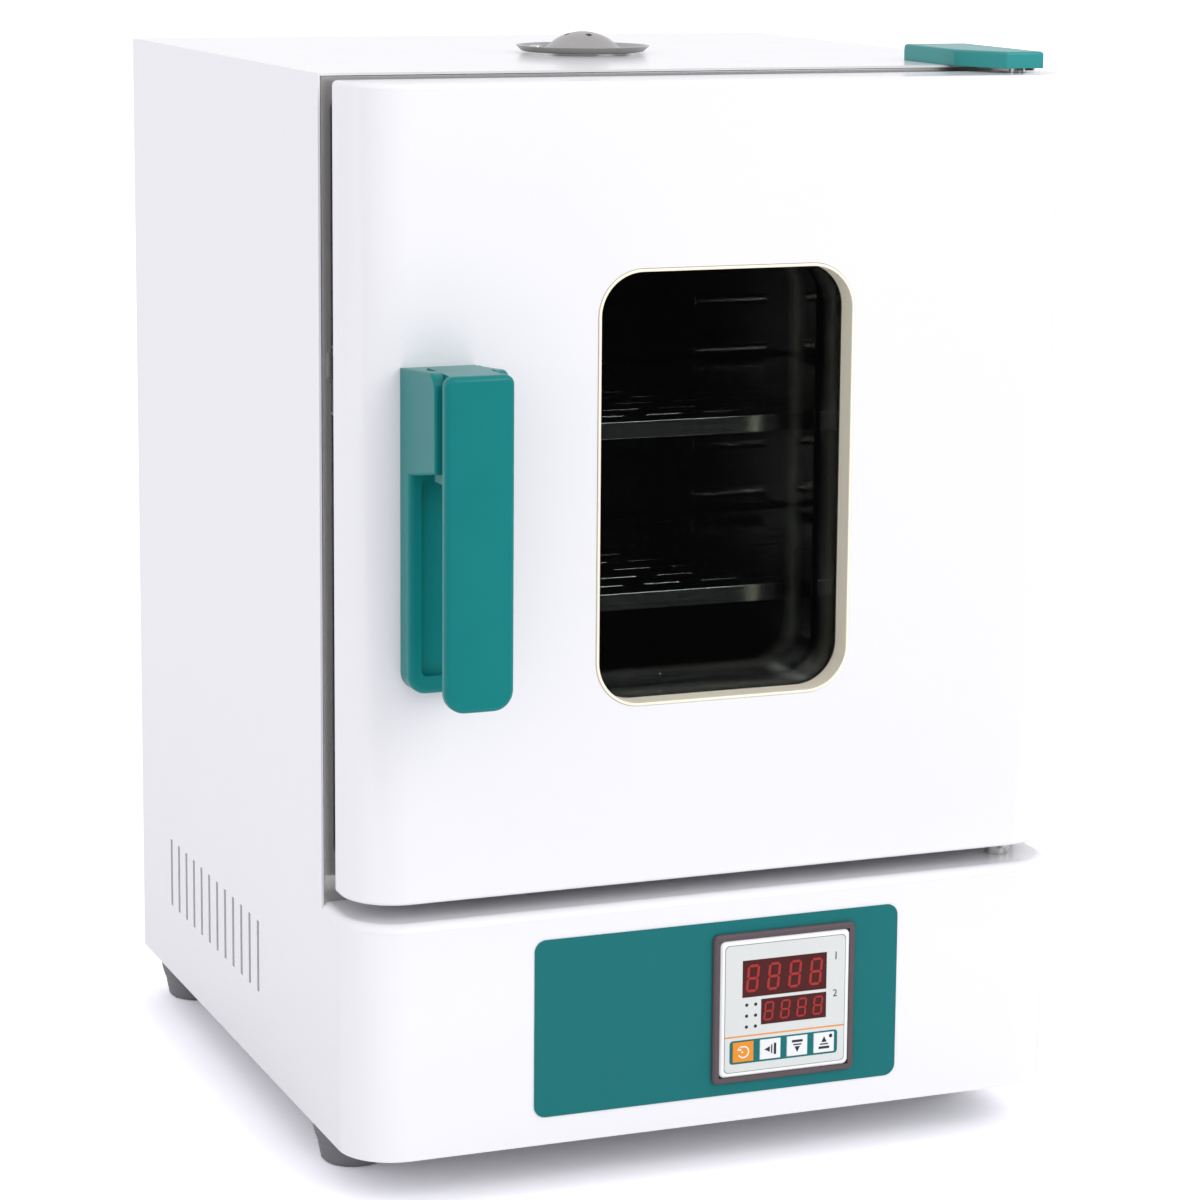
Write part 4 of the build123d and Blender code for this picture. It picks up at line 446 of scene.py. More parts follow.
def satin_steel():
    return finished(
        "satin_steel", (0.44, 0.43, 0.42), "drawn_lines",
        grain=900, gloss=0.3, spread=0.14, relief=4 * MICRON, tone=0.12,
        stretch=(0.08, 1, 1), Metallic=1,
    )


def aluminium():
    return finished(
        "aluminium", (0.62, 0.63, 0.65), "drawn_lines",
        grain=400, gloss=0.36, spread=0.2, relief=8 * MICRON, tone=0.12,
        stretch=(1, 0.1, 1), Metallic=1,
    )


def brass():
    return finished(
        "brass", (0.6, 0.42, 0.17), "drawn_lines",
        grain=500, gloss=0.3, spread=0.16, relief=5 * MICRON, tone=0.12, Metallic=1,
    )


def grey_rubber():
    material = finished(
        "grey_rubber", colours().rubber, "moulded_skin",
        grain=900, gloss=0.56, spread=0.14, relief=30 * MICRON, tone=0.14,
        Specular_IOR_Level=0.35,
    )
    return add_specks(material, (0.3, 0.3, 0.3), 260, 0.1, 0.9)


def cream_silicone():
    return finished(
        "cream_silicone", colours().gasket, "moulded_skin",
        grain=700, gloss=0.42, spread=0.12, relief=10 * MICRON, tone=0.03,
        Subsurface_Weight=0.08, Subsurface_Scale=0.002,
    )


def white_silicone():
    return finished(
        "white_silicone", (0.76, 0.76, 0.73), "moulded_skin",
        grain=700, gloss=0.44, spread=0.12, relief=10 * MICRON, tone=0.05,
        Subsurface_Weight=0.08, Subsurface_Scale=0.002,
    )


def teal_plastic():
    return finished(
        "teal_plastic", colours().teal, "moulded_skin",
        grain=1100, gloss=0.3, spread=0.1, relief=12 * MICRON, tone=0.06,
        Specular_IOR_Level=0.2,
    )


def teal_cover():
    return finished(
        "teal_cover", colours().cover, "moulded_skin",
        grain=1100, gloss=0.3, spread=0.1, relief=12 * MICRON, tone=0.06,
        Specular_IOR_Level=0.25,
    )


def teal_film():
    return finished(
        "teal_film", colours().film, "moulded_skin",
        grain=1500, gloss=0.42, spread=0.06, relief=6 * MICRON, tone=0.025,
        Specular_IOR_Level=0.12,
    )


def taupe_plastic():
    return finished(
        "taupe_plastic", colours().surround, "moulded_skin",
        grain=1300, gloss=0.5, spread=0.1, relief=14 * MICRON, tone=0.05,
        Specular_IOR_Level=0.35,
    )


def light_grey_plastic():
    return finished(
        "light_grey_plastic", colours().rim, "moulded_skin",
        grain=1500, gloss=0.34, spread=0.08, relief=5 * MICRON, tone=0.02,
    )


def instrument_face():
    return finished(
        "instrument_face", colours().face, "moulded_skin",
        grain=1700, gloss=0.42, spread=0.06, relief=4 * MICRON, tone=0.02,
        Specular_IOR_Level=0.35,
    )


def black_plastic():
    material = finished(
        "black_plastic", (0.018, 0.018, 0.019), "moulded_skin",
        grain=900, gloss=0.42, spread=0.16, relief=18 * MICRON, tone=0.2,
    )
    return add_specks(material, (0.12, 0.12, 0.12), 300, 0.1, 0.93)


def dark_red_window():
    return finished(
        "dark_red_window", colours().window, "baked_coat",
        grain=300, gloss=0.16, spread=0.05, relief=MICRON, tone=0.1,
        Specular_IOR_Level=0.3,
    )


def display_segment():
    return finished(
        "display_segment", colours().segment, "moulded_skin",
        grain=1800, gloss=0.4, spread=0.05, relief=2 * MICRON, tone=0.08,
    )


def orange_key():
    return finished(
        "orange_key", colours().orange, "moulded_skin",
        grain=1500, gloss=0.4, spread=0.08, relief=6 * MICRON, tone=0.04,
        Specular_IOR_Level=0.35,
    )


def white_key():
    return finished(
        "white_key", (0.76, 0.78, 0.78), "moulded_skin",
        grain=1500, gloss=0.4, spread=0.08, relief=6 * MICRON, tone=0.03,
        Specular_IOR_Level=0.35,
    )


def white_print():
    return finished(
        "white_print", (0.8, 0.78, 0.74), "moulded_skin",
        grain=1800, gloss=0.5, spread=0.05, relief=2 * MICRON, tone=0.04,
    )


def black_print():
    return finished(
        "black_print", colours().ink, "moulded_skin",
        grain=1800, gloss=0.45, spread=0.08, relief=2 * MICRON, tone=0.1,
    )


# Flat dark grey that paints the shade in the groove between the instrument's rim and its face
def rim_groove():
    return finished(
        "rim_groove", (0.2, 0.21, 0.2), "moulded_skin",
        grain=1800, gloss=0.6, spread=0.05, relief=2 * MICRON, tone=0.08,
    )


def mineral_wool():
    return finished(
        "mineral_wool", (0.5, 0.44, 0.3), "drawn_lines",
        grain=320, gloss=0.95, spread=0.05, relief=600 * MICRON, tone=0.35,
        stretch=(1, 1, 0.3), Specular_IOR_Level=0.1,
    )


def clear_glass():
    """Toughened glass. Light for the chamber passes straight through, so the panes cast no shadow."""
    material = bpy.data.materials.new(finish_name("clear_glass"))
    material.use_nodes = True
    tree = material.node_tree
    shader = tree.nodes["Principled BSDF"]
    shader.inputs["Base Color"].default_value = GLASS_TINT
    shader.inputs["Transmission Weight"].default_value = 1
    shader.inputs["IOR"].default_value = 1.3
    where = add_node(tree, "ShaderNodeTexCoord")
    specks = add_node(
        tree, "ShaderNodeGroup",
        {"Vector": where.outputs["Object"], "Grain": 160, "Size": 0.07, "Share": 0.94},
        node_tree=shared_group("dust_specks"),
    )
    tree.links.new(calculate(tree, "MULTIPLY", specks.outputs["Mask"], 0.6), shader.inputs["Roughness"])
    path = add_node(tree, "ShaderNodeLightPath")
    clear = add_node(tree, "ShaderNodeBsdfTransparent", {"Color": GLASS_TINT})
    blend = either(tree, path.outputs["Is Shadow Ray"], shader.outputs["BSDF"], clear.outputs["BSDF"])
    tree.links.new(blend, tree.nodes["Material Output"].inputs["Surface"])
    return material


FINISH_MAKERS = {
    maker.__name__: maker
    for maker in (
        white_enamel, zinc_sheet, stainless, polished_steel, satin_steel, aluminium, brass, grey_rubber,
        cream_silicone, white_silicone, teal_plastic, teal_cover, teal_film, taupe_plastic,
        light_grey_plastic, instrument_face, black_plastic, dark_red_window, display_segment, orange_key,
        white_key, white_print, black_print, rim_groove, mineral_wool, clear_glass,
    )
}


def finish(name):
    """The material of that name, built the first time that it is asked for."""
    return bpy.data.materials.get(finish_name(name)) or FINISH_MAKERS[name]()


# Pieces


def new_piece(name, mesh, material):
    """A linked object for a mesh whose place is already in its points."""
    if material is not None:
        mesh.materials.clear()
        mesh.materials.append(finish(material))
    piece = bpy.data.objects.new(name, mesh)
    bpy.context.scene.collection.objects.link(piece)
    return piece


def settle(piece, body, slot, *nodes):
    """Ride a piece on its body and let it stand for its nodes. The slot is not used."""
    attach(piece, body)
    if nodes:
        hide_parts(*nodes)
    return piece


def apply_modifiers(piece):
    """Turn the evaluated piece into a plain mesh, with no modifier left."""
    graph = bpy.context.evaluated_depsgraph_get()
    mesh = bpy.data.meshes.new_from_object(piece.evaluated_get(graph), depsgraph=graph)
    piece.modifiers.clear()
    piece.data = mesh
    return piece


def welded(node):
    """A merged copy of a node's mesh, with its flat triangles joined into whole faces."""
    form = bmesh.new()
    form.from_mesh(frame["nodes"][node].data)
    bmesh.ops.remove_doubles(form, verts=form.verts, dist=2 * MICRON)
    bmesh.ops.dissolve_limit(form, angle_limit=radians(0.1), verts=form.verts, edges=form.edges)
    return form


def mesh_from(form, name, crease=30):
    """A smooth mesh with edges sharper than crease degrees kept sharp."""
    mesh = bpy.data.meshes.new(name)
    form.to_mesh(mesh)
    form.free()
    mesh.shade_smooth()
    mesh.set_sharp_from_angle(angle=radians(crease))
    return mesh


def dress(node, softness=0, crease=30, material=None):
    """A smooth piece with soft edges in place of a node, in the finish of the node's slot."""
    slot = SLOT_OF[node]
    softness = softness or SOFT_EDGES.get(node, 0)
    piece = new_piece(f"{node}_skin", mesh_from(welded(node), f"{node}_skin", crease), material or slot)
    if softness:
        bevel = piece.modifiers.new("soft_edges", "BEVEL")
        bevel.width = softness
        bevel.segments = 2
        bevel.limit_method = "ANGLE"
        bevel.angle_limit = radians(40)
        bevel.harden_normals = False
    even = piece.modifiers.new("even_shading", "WEIGHTED_NORMAL")
    even.keep_sharp = True
    even.weight = 80
    apply_modifiers(piece)
    return settle(piece, BODY_OF[node], slot, node)


def paint(*nodes):
    """Give nodes whose shape and shading can stay the finish of their slot."""
    for node in nodes:
        solid = frame["nodes"][node]
        solid.data.materials.clear()
        solid.data.materials.append(finish(SLOT_OF[node]))


def flat_mesh(outlines, thickness, front):
    """A flat upright mesh with its front at y = front. Its outlines are lists of (x, z), holes among them."""
    curve = bpy.data.curves.new("outline", "CURVE")
    curve.dimensions = "2D"
    curve.fill_mode = "BOTH"
    curve.extrude = thickness / 2
    for outline in outlines:
        spline = curve.splines.new("POLY")
        spline.points.add(len(outline) - 1)
        for point, (x, z) in zip(spline.points, outline):
            point.co = (x, z, 0, 1)
        spline.use_cyclic_u = True
    holder = bpy.data.objects.new("outline", curve)
    bpy.context.scene.collection.objects.link(holder)
    graph = bpy.context.evaluated_depsgraph_get()
    mesh = bpy.data.meshes.new_from_object(holder.evaluated_get(graph), depsgraph=graph)
    bpy.data.objects.remove(holder)
    bpy.data.curves.remove(curve)
    mesh.transform(Matrix.Translation((0, front + thickness / 2, 0)) @ Matrix.Rotation(pi / 2, 4, "X"))
    form = bmesh.new()
    form.from_mesh(mesh)
    bmesh.ops.remove_doubles(form, verts=form.verts, dist=MICRON)
    bmesh.ops.recalc_face_normals(form, faces=form.faces)
    form.to_mesh(mesh)
    form.free()
    return mesh


def flat_mark(name, outlines, front, material, body, slot, thickness=None):
    """A thin flat piece such as a print or a film, whose back lies at y = front."""
    thickness = thickness or sizes().film_thickness
    mesh = flat_mesh(outlines, thickness, front - thickness)
    return settle(new_piece(name, mesh, material), body, slot)


def rounded_rectangle(centre, size, radius, steps=6):
    """Points of a rectangle with round corners, anticlockwise."""
    points = []
    for corner, (across, up) in enumerate(((1, 1), (-1, 1), (-1, -1), (1, -1))):
        x = centre[0] + across * (size[0] / 2 - radius)
        z = centre[1] + up * (size[1] / 2 - radius)
        for step in range(steps + 1):
            angle = (corner + step / steps) * pi / 2
            points.append((x + radius * cos(angle), z + radius * sin(angle)))
    return points


def rectangle(centre, size):
    """Points of a plain rectangle, anticlockwise."""
    half_x, half_z = size[0] / 2, size[1] / 2
    return [
        (centre[0] + across * half_x, centre[1] + up * half_z)
        for across, up in ((1, 1), (-1, 1), (-1, -1), (1, -1))
    ]


def ring_arc(centre, radius, width, start, stop, steps=24):
    """Points of a flat arc from start to stop, in degrees."""
    turns = [radians(start + (stop - start) * step / steps) for step in range(steps + 1)]
    outside, inside = [
        [(centre[0] + reach * cos(turn), centre[1] + reach * sin(turn)) for turn in turns]
        for reach in (radius + width / 2, radius - width / 2)
    ]
    return outside + inside[::-1]


def beside(centre, *places):
    """Points at places in millimetres from a centre."""
    return [(centre[0] + x * MM, centre[1] + z * MM) for x, z in places]


def dot(centre, radius, steps):
    """Points of a small disc. Its first point comes again as the last."""
    return ring_arc(centre, radius / 2, radius, 0, 360, steps)[: steps + 1]


def turned(points, centre, angle):
    """Points turned about a centre, in degrees."""
    c, s = cos(radians(angle)), sin(radians(angle))
    return [
        (
            centre[0] + (x - centre[0]) * c - (z - centre[1]) * s,
            centre[1] + (x - centre[0]) * s + (z - centre[1]) * c,
        )
        for x, z in points
    ]


def solids_of(node):
    """The low and high corners of each separate solid of a node, in the order of its mesh."""
    form = welded(node)
    seen = set()
    boxes = []
    for first in form.verts:
        if first in seen:
            continue
        seen.add(first)
        reached = [first]
        low, high = first.co.copy(), first.co.copy()
        while reached:
            corner = reached.pop()
            low = Vector(map(min, low, corner.co))
            high = Vector(map(max, high, corner.co))
            for edge in corner.link_edges:
                other = edge.other_vert(corner)
                if other not in seen:
                    seen.add(other)
                    reached.append(other)
        boxes.append((low, high))
    form.free()
    return boxes


def cross_head(radius, height, arm):
    """A pan head with a cross recess, facing +Z, with its seat at z = 0."""
    form = bmesh.new()
    steps = 24
    turns = [2 * pi * step / steps for step in range(steps)]
    rings = []
    for share, rise in ((1, 0), (1, 0.35), (0.93, 0.7), (0.78, 0.92), (0.6, 1)):
        rings.append([
            form.verts.new((radius * share * cos(t), radius * share * sin(t), height * rise)) for t in turns
        ])
    for below, above in zip(rings, rings[1:]):
        for step in range(steps):
            after = (step + 1) % steps
            form.faces.new((below[step], below[after], above[after], above[step]))
    form.faces.new(rings[0][::-1])
    reach, half = radius * RECESS_REACH, arm / 2
    arm_corners = [(half, half), (half, reach), (-half, reach)]
    cross = [corner for quarter in range(4) for corner in turned(arm_corners, (0, 0), 90 * quarter)]
    rim = [form.verts.new((x, y, height)) for x, y in cross]
    foot = [
        form.verts.new((x * RECESS_TAPER, y * RECESS_TAPER, height * RECESS_FLOOR)) for x, y in cross
    ]
    count = len(cross)
    for step in range(count):
        after = (step + 1) % count
        form.faces.new((rim[step], rim[after], foot[after], foot[step]))
    form.faces.new(foot)
    edges = [form.edges.get((rings[-1][step], rings[-1][(step + 1) % steps])) for step in range(steps)]
    edges += [form.edges.get((rim[step], rim[(step + 1) % count])) for step in range(count)]
    bmesh.ops.triangle_fill(form, use_beauty=True, edges=edges)
    bmesh.ops.recalc_face_normals(form, faces=form.faces)
    return mesh_from(form, "cross_head", 35)


# Geometry Nodes for what repeats


def nodes_tree(name, numbers, vectors=(), objects=()):
    """An empty Geometry Nodes tree with named inputs, and its two end nodes."""
    tree = bpy.data.node_groups.new(name, "GeometryNodeTree")
    tree.interface.new_socket(name="Geometry", in_out="INPUT", socket_type="NodeSocketGeometry")
    for label in numbers:
        tree.interface.new_socket(name=label, in_out="INPUT", socket_type="NodeSocketFloat")
    for label in vectors:
        tree.interface.new_socket(name=label, in_out="INPUT", socket_type="NodeSocketVector")
    for label in objects:
        tree.interface.new_socket(name=label, in_out="INPUT", socket_type="NodeSocketObject")
    tree.interface.new_socket(name="Seed", in_out="INPUT", socket_type="NodeSocketInt")
    tree.interface.new_socket(name="Material", in_out="INPUT", socket_type="NodeSocketMaterial")
    tree.interface.new_socket(name="Geometry", in_out="OUTPUT", socket_type="NodeSocketGeometry")
    return tree, tree.nodes.new("NodeGroupInput"), tree.nodes.new("NodeGroupOutput")


def end_tree(tree, start, end, geometry):
    """Realise the instances, set the material and put the result out."""
    real = add_node(tree, "GeometryNodeRealizeInstances", {"Geometry": geometry})
    done = add_node(
        tree, "GeometryNodeSetMaterial",
        {"Geometry": real.outputs["Geometry"], "Material": start.outputs["Material"]},
    )
    tree.links.new(done.outputs["Geometry"], end.inputs["Geometry"])


def copies_tree():
    """A copy of a form on each point, turned to face one way and spun at random by up to Spin."""
    tree, start, end = nodes_tree("copies_on_points", ("Spin",), ("Facing",), ("Form",))
    form = add_node(tree, "GeometryNodeObjectInfo", {"Object": start.outputs["Form"]})
    placed = add_node(
        tree, "GeometryNodeInstanceOnPoints",
        {
            "Points": start.outputs["Geometry"],
            "Instance": form.outputs["Geometry"],
            "Rotation": start.outputs["Facing"],
        },
    )
    chance = add_node(
        tree, "FunctionNodeRandomValue",
        {RANDOM_HIGHEST: start.outputs["Spin"], "Seed": start.outputs["Seed"]}, data_type="FLOAT",
    )
    turn = add_node(tree, "ShaderNodeCombineXYZ", {"Z": chance.outputs[RANDOM_RESULT]})
    spun = add_node(
        tree, "GeometryNodeRotateInstances",
        {"Instances": placed.outputs["Instances"], "Rotation": turn.outputs["Vector"]},
    )
    end_tree(tree, start, end, spun.outputs["Instances"])
    return tree


def segments_tree():
    """Seven-bar digits. The points of one digit carry upright, 1 on a bar that stands."""
    tree, start, end = nodes_tree(
        "seven_bar_digits", ("Digits", "Pitch", "Slant"), objects=("Bar", "Standing bar")
    )
    lying = add_node(tree, "GeometryNodeObjectInfo", {"Object": start.outputs["Bar"]})
    standing = add_node(tree, "GeometryNodeObjectInfo", {"Object": start.outputs["Standing bar"]})
    upright = add_node(
        tree, "GeometryNodeInputNamedAttribute", {"Name": "upright"}, data_type="BOOLEAN"
    )
    level = add_node(tree, "FunctionNodeBooleanMath", {0: upright.outputs["Attribute"]}, operation="NOT")
    rows = []
    for chosen, bar in ((level.outputs[0], lying), (upright.outputs["Attribute"], standing)):
        rows.append(add_node(
            tree, "GeometryNodeInstanceOnPoints",
            {
                "Points": start.outputs["Geometry"],
                "Selection": chosen,
                "Instance": bar.outputs["Geometry"],
            },
        ))
    digit = add_node(tree, "GeometryNodeJoinGeometry")
    for row in rows:
        tree.links.new(row.outputs["Instances"], digit.inputs["Geometry"])
    step = add_node(tree, "ShaderNodeCombineXYZ", {"X": start.outputs["Pitch"]})
    line = add_node(
        tree, "GeometryNodeMeshLine",
        {"Count": start.outputs["Digits"], "Offset": step.outputs["Vector"]}, mode="OFFSET",
    )
    row = add_node(
        tree, "GeometryNodeInstanceOnPoints",
        {"Points": line.outputs["Mesh"], "Instance": digit.outputs["Geometry"]},
    )
    real = add_node(tree, "GeometryNodeRealizeInstances", {"Geometry": row.outputs["Instances"]})
    place = add_node(tree, "GeometryNodeInputPosition")
    parts = add_node(tree, "ShaderNodeSeparateXYZ", {"Vector": place.outputs["Position"]})
    lean = calculate(tree, "MULTIPLY", parts.outputs["Z"], start.outputs["Slant"])
    move = add_node(tree, "ShaderNodeCombineXYZ", {"X": lean})
    leaned = add_node(
        tree, "GeometryNodeSetPosition",
        {"Geometry": real.outputs["Geometry"], "Offset": move.outputs["Vector"]},
    )
    end_tree(tree, start, end, leaned.outputs["Geometry"])
    return tree


def grow(piece, tree, **values):
    """Run a Geometry Nodes tree on a piece and keep the result as a plain mesh."""
    modifier = piece.modifiers.new(tree.name, "NODES")
    modifier.node_group = tree
    for socket in tree.interface.items_tree:
        label = socket.name.replace(" ", "_").lower()
        if socket.in_out == "INPUT" and label in values:
            modifier[socket.identifier] = values[label]
    return apply_modifiers(piece)


def points_piece(name, places):
    """A piece that is only points, for a tree to fill."""
    mesh = bpy.data.meshes.new(name)
    mesh.from_pydata([tuple(place) for place in places], [], [])
    return new_piece(name, mesh, None)


def drop(*pieces):
    """Remove the forms that a tree has copied."""
    for piece in pieces:
        bpy.data.objects.remove(piece)


# Operators


class OVEN_OT_stage(bpy.types.Operator):
    """Floor, light and camera of the studio"""

    bl_idname = "oven.stage"
    bl_label = "Stage"

    def execute(self, context):
        stage = context.scene.oven_stage
        self.floor(stage)
        self.camera(context.scene, stage)
        self.world(context.scene, stage)
        self.key_light(context.scene, stage)
        context.scene.view_settings.view_transform = "Standard"
        context.scene.view_settings.look = "None"
        return {"FINISHED"}

    def floor(self, stage):
        """A wide white floor. What gloss and glass see of it goes dark in front of the table's edge."""
        form = bmesh.new()
        bmesh.ops.create_grid(form, x_segments=1, y_segments=1, size=40)
        mesh = mesh_from(form, "floor")
        material = bpy.data.materials.new("studio_floor")
        material.use_nodes = True
        tree = material.node_tree
        where = add_node(tree, "ShaderNodeTexCoord")
        parts = add_node(tree, "ShaderNodeSeparateXYZ", {"Vector": where.outputs["Object"]})
        lit = add_node(
            tree, "ShaderNodeMapRange",
            {
                "Value": parts.outputs["Y"],
                "From Min": -stage.table_front, "From Max": stage.table_edge - stage.table_front,
                "To Min": DARK, "To Max": TABLE_BRIGHT,
            },
            interpolation_type="SMOOTHSTEP",
        )
        path = add_node(tree, "ShaderNodeLightPath")
        table = add_node(tree, "ShaderNodeBsdfDiffuse", {"Color": lit.outputs["Result"]})
        white = add_node(tree, "ShaderNodeBsdfDiffuse", {"Color": FLOOR_WHITE})
        seen = add_node(tree, "ShaderNodeBsdfDiffuse", {"Color": FLOOR_SEEN})
        plain = either(tree, path.outputs["Is Camera Ray"], white.outputs["BSDF"], seen.outputs["BSDF"])
        blend = either(tree, mirrored_rays(tree, path), plain, table.outputs["BSDF"])
        tree.links.new(blend, tree.nodes["Material Output"].inputs["Surface"])
        mesh.materials.append(material)
        floor = bpy.data.objects.new("studio_floor", mesh)
        bpy.context.scene.collection.objects.link(floor)

    def camera(self, scene, stage):
        """The camera at the place and angle of the reference view."""
        yaw, pitch, roll = stage.camera_yaw, stage.camera_pitch, stage.camera_roll
        sight = Vector((-sin(yaw) * cos(pitch), cos(yaw) * cos(pitch), sin(pitch)))
        level = Vector((cos(yaw), sin(yaw), 0))
        above = level.cross(sight)
        right = level * cos(roll) + above * sin(roll)
        up = above * cos(roll) - level * sin(roll)
        lens = bpy.data.cameras.new("camera")
        lens.sensor_width = 36
        lens.lens = stage.camera_lens
        lens.shift_x, lens.shift_y = stage.camera_shift
        lens.clip_end = 100
        camera = bpy.data.objects.new("camera", lens)
        turn = Matrix((right, up, -sight)).transposed().to_4x4()
        camera.matrix_world = Matrix.Translation(stage.camera_place) @ turn
        scene.collection.objects.link(camera)
        scene.camera = camera

    def world(self, scene, stage):
        """A light tent. Gloss and glass see it white behind and above, and dark low in front."""
        world = bpy.data.worlds.new("studio")
        world.use_nodes = True
        tree = world.node_tree
        tree.nodes.clear()
        where = add_node(tree, "ShaderNodeTexCoord")
        parts = add_node(tree, "ShaderNodeSeparateXYZ", {"Vector": where.outputs["Generated"]})
        rise = add_node(
            tree, "ShaderNodeMapRange",
            {
                "Value": parts.outputs["Z"], "From Min": 0, "From Max": 1,
                "To Min": stage.ambient, "To Max": stage.zenith,
            },
        )
        soft = add_node(
            tree, "ShaderNodeBackground", {"Color": TENT_LIGHT, "Strength": rise.outputs["Result"]}
        )
        high = self.step(tree, parts.outputs["Z"], *BRIGHT_ABOVE)
        behind = self.step(tree, parts.outputs["Y"], *BRIGHT_BEHIND)
        bright = calculate(tree, "MAXIMUM", high, behind)
        gloss = add_node(tree, "ShaderNodeBackground", {"Color": TENT_MIRRORED, "Strength": bright})
        white = add_node(tree, "ShaderNodeBackground", {"Color": WHITE, "Strength": 1})
        path = add_node(tree, "ShaderNodeLightPath")
        light = either(tree, mirrored_rays(tree, path), soft.outputs[0], gloss.outputs[0])
        seen = either(tree, path.outputs["Is Camera Ray"], light, white.outputs[0])
        add_node(tree, "ShaderNodeOutputWorld", {"Surface": seen})
        scene.world = world

    def step(self, tree, value, low, high):
        """A smooth step from nearly 0 to 1 between two values."""
        return add_node(
            tree, "ShaderNodeMapRange",
            {"Value": value, "From Min": low, "From Max": high, "To Min": DARK, "To Max": 1},
            interpolation_type="SMOOTHSTEP",
        ).outputs["Result"]

    def key_light(self, scene, stage):
        """A square soft light from the front right and above."""
        light = bpy.data.lights.new("key", "AREA")
        light.shape = "SQUARE"
        light.size = stage.key_size
        light.energy = stage.key
        lamp = bpy.data.objects.new("key", light)
        place, aim = Vector(stage.key_place), Vector(stage.key_aim)
        lamp.location = place
        lamp.rotation_euler = (aim - place).to_track_quat("-Z", "Y").to_euler()
        scene.collection.objects.link(lamp)


class OVEN_OT_casing(bpy.types.Operator):
    """Casing, frame round the mouth, rear panel and base plate"""

    bl_idname = "oven.casing"
    bl_label = "Casing"

    def execute(self, context):
        for node in ("outer_casing", "front_frame", "rear_panel"):
            dress(node, sizes().edge_softness)
        paint("base_plate", "divider_plate", "insulation")
        return {"FINISHED"}


class OVEN_OT_rear_screws(bpy.types.Operator):
    """Cross-recess screws of the rear panel"""

    bl_idname = "oven.rear_screws"
    bl_label = "Rear Screws"

    def execute(self, context):
        panel_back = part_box("rear_panel")[1][1]
        boxes = solids_of("rear_panel_screws")
        low, high = boxes[0]
        radius = (high.x - low.x) / 2
        head = new_piece(
            "screw_form", cross_head(radius, high.y - panel_back, sizes().screw_recess), None
        )
        places = [((low.x + high.x) / 2, panel_back, (low.z + high.z) / 2) for low, high in boxes]
        screws = points_piece("rear_panel_screw_heads", places)
        grow(
            screws, copies_tree(), form=head, facing=(-pi / 2, 0, 0), spin=pi, seed=4,
            material=finish("polished_steel"),
        )
        drop(head)
        settle(screws, BODY_OF["rear_panel_screws"], SLOT_OF["rear_panel_screws"], "rear_panel_screws")
        return {"FINISHED"}


class OVEN_OT_feet(bpy.types.Operator):
    """Rubber feet and their screws"""

    bl_idname = "oven.feet"
    bl_label = "Feet"

    def execute(self, context):
        dress("feet")
        paint("foot_screws")
        return {"FINISHED"}


class OVEN_OT_chamber(bpy.types.Operator):
    """Chamber liner, air guide, rails, shelves, fan, heater and probe"""

    bl_idname = "oven.chamber"
    bl_label = "Chamber"

    def execute(self, context):
        for node in (
            "chamber_liner", "air_guide", "shelf_rail_left", "shelf_rail_right",
            "temperature_probe", "heater_element", "fan_impeller",
        ):
            dress(node)
        for node in ("shelf_upper", "shelf_lower"):
            dress(node, sizes().edge_softness)
        paint("fan_shaft", "fan_motor", "motor_bracket", "limit_thermostat")
        return {"FINISHED"}


class OVEN_OT_vent(bpy.types.Operator):
    """Turning vent on the roof"""

    bl_idname = "oven.vent"
    bl_label = "Vent"

    def execute(self, context):
        for node in ("vent_base", "vent_stud", "vent_pivot", "vent_pipe"):
            dress(node, crease=25)
        dress("vent_cap", crease=25, material="satin_steel")
        return {"FINISHED"}


class OVEN_OT_door(bpy.types.Operator):
    """Door shell, inner panel and the seal"""

    bl_idname = "oven.door"
    bl_label = "Door"

    def execute(self, context):
        dress("door_shell", sizes().edge_softness)
        dress("door_inner_panel")
        dress("door_seal", crease=40)
        paint("door_insulation")
        return {"FINISHED"}


class OVEN_OT_window(bpy.types.Operator):
    """Panes, spacer and gasket of the window"""

    bl_idname = "oven.window"
    bl_label = "Window"

    def execute(self, context):
        dress("window_gasket")
        dress("pane_spacer")
        paint("outer_pane", "inner_pane")
        return {"FINISHED"}


class OVEN_OT_hinge(bpy.types.Operator):
    """Hinge bracket, pins, bushes and the cover"""

    bl_idname = "oven.hinge"
    bl_label = "Hinge"

    def execute(self, context):
        dress("hinge_cover", material="teal_cover")
        for node in ("hinge_bracket", "hinge_pin_upper", "hinge_pin_lower", "hinge_bushes"):
            dress(node)
        return {"FINISHED"}


class OVEN_OT_handle(bpy.types.Operator):
    """Lever handle and its latch"""

    bl_idname = "oven.handle"
    bl_label = "Handle"

    def execute(self, context):
        for node in ("handle_base", "handle_grip", "handle_pin", "latch_arm", "latch_striker"):
            dress(node)
        return {"FINISHED"}


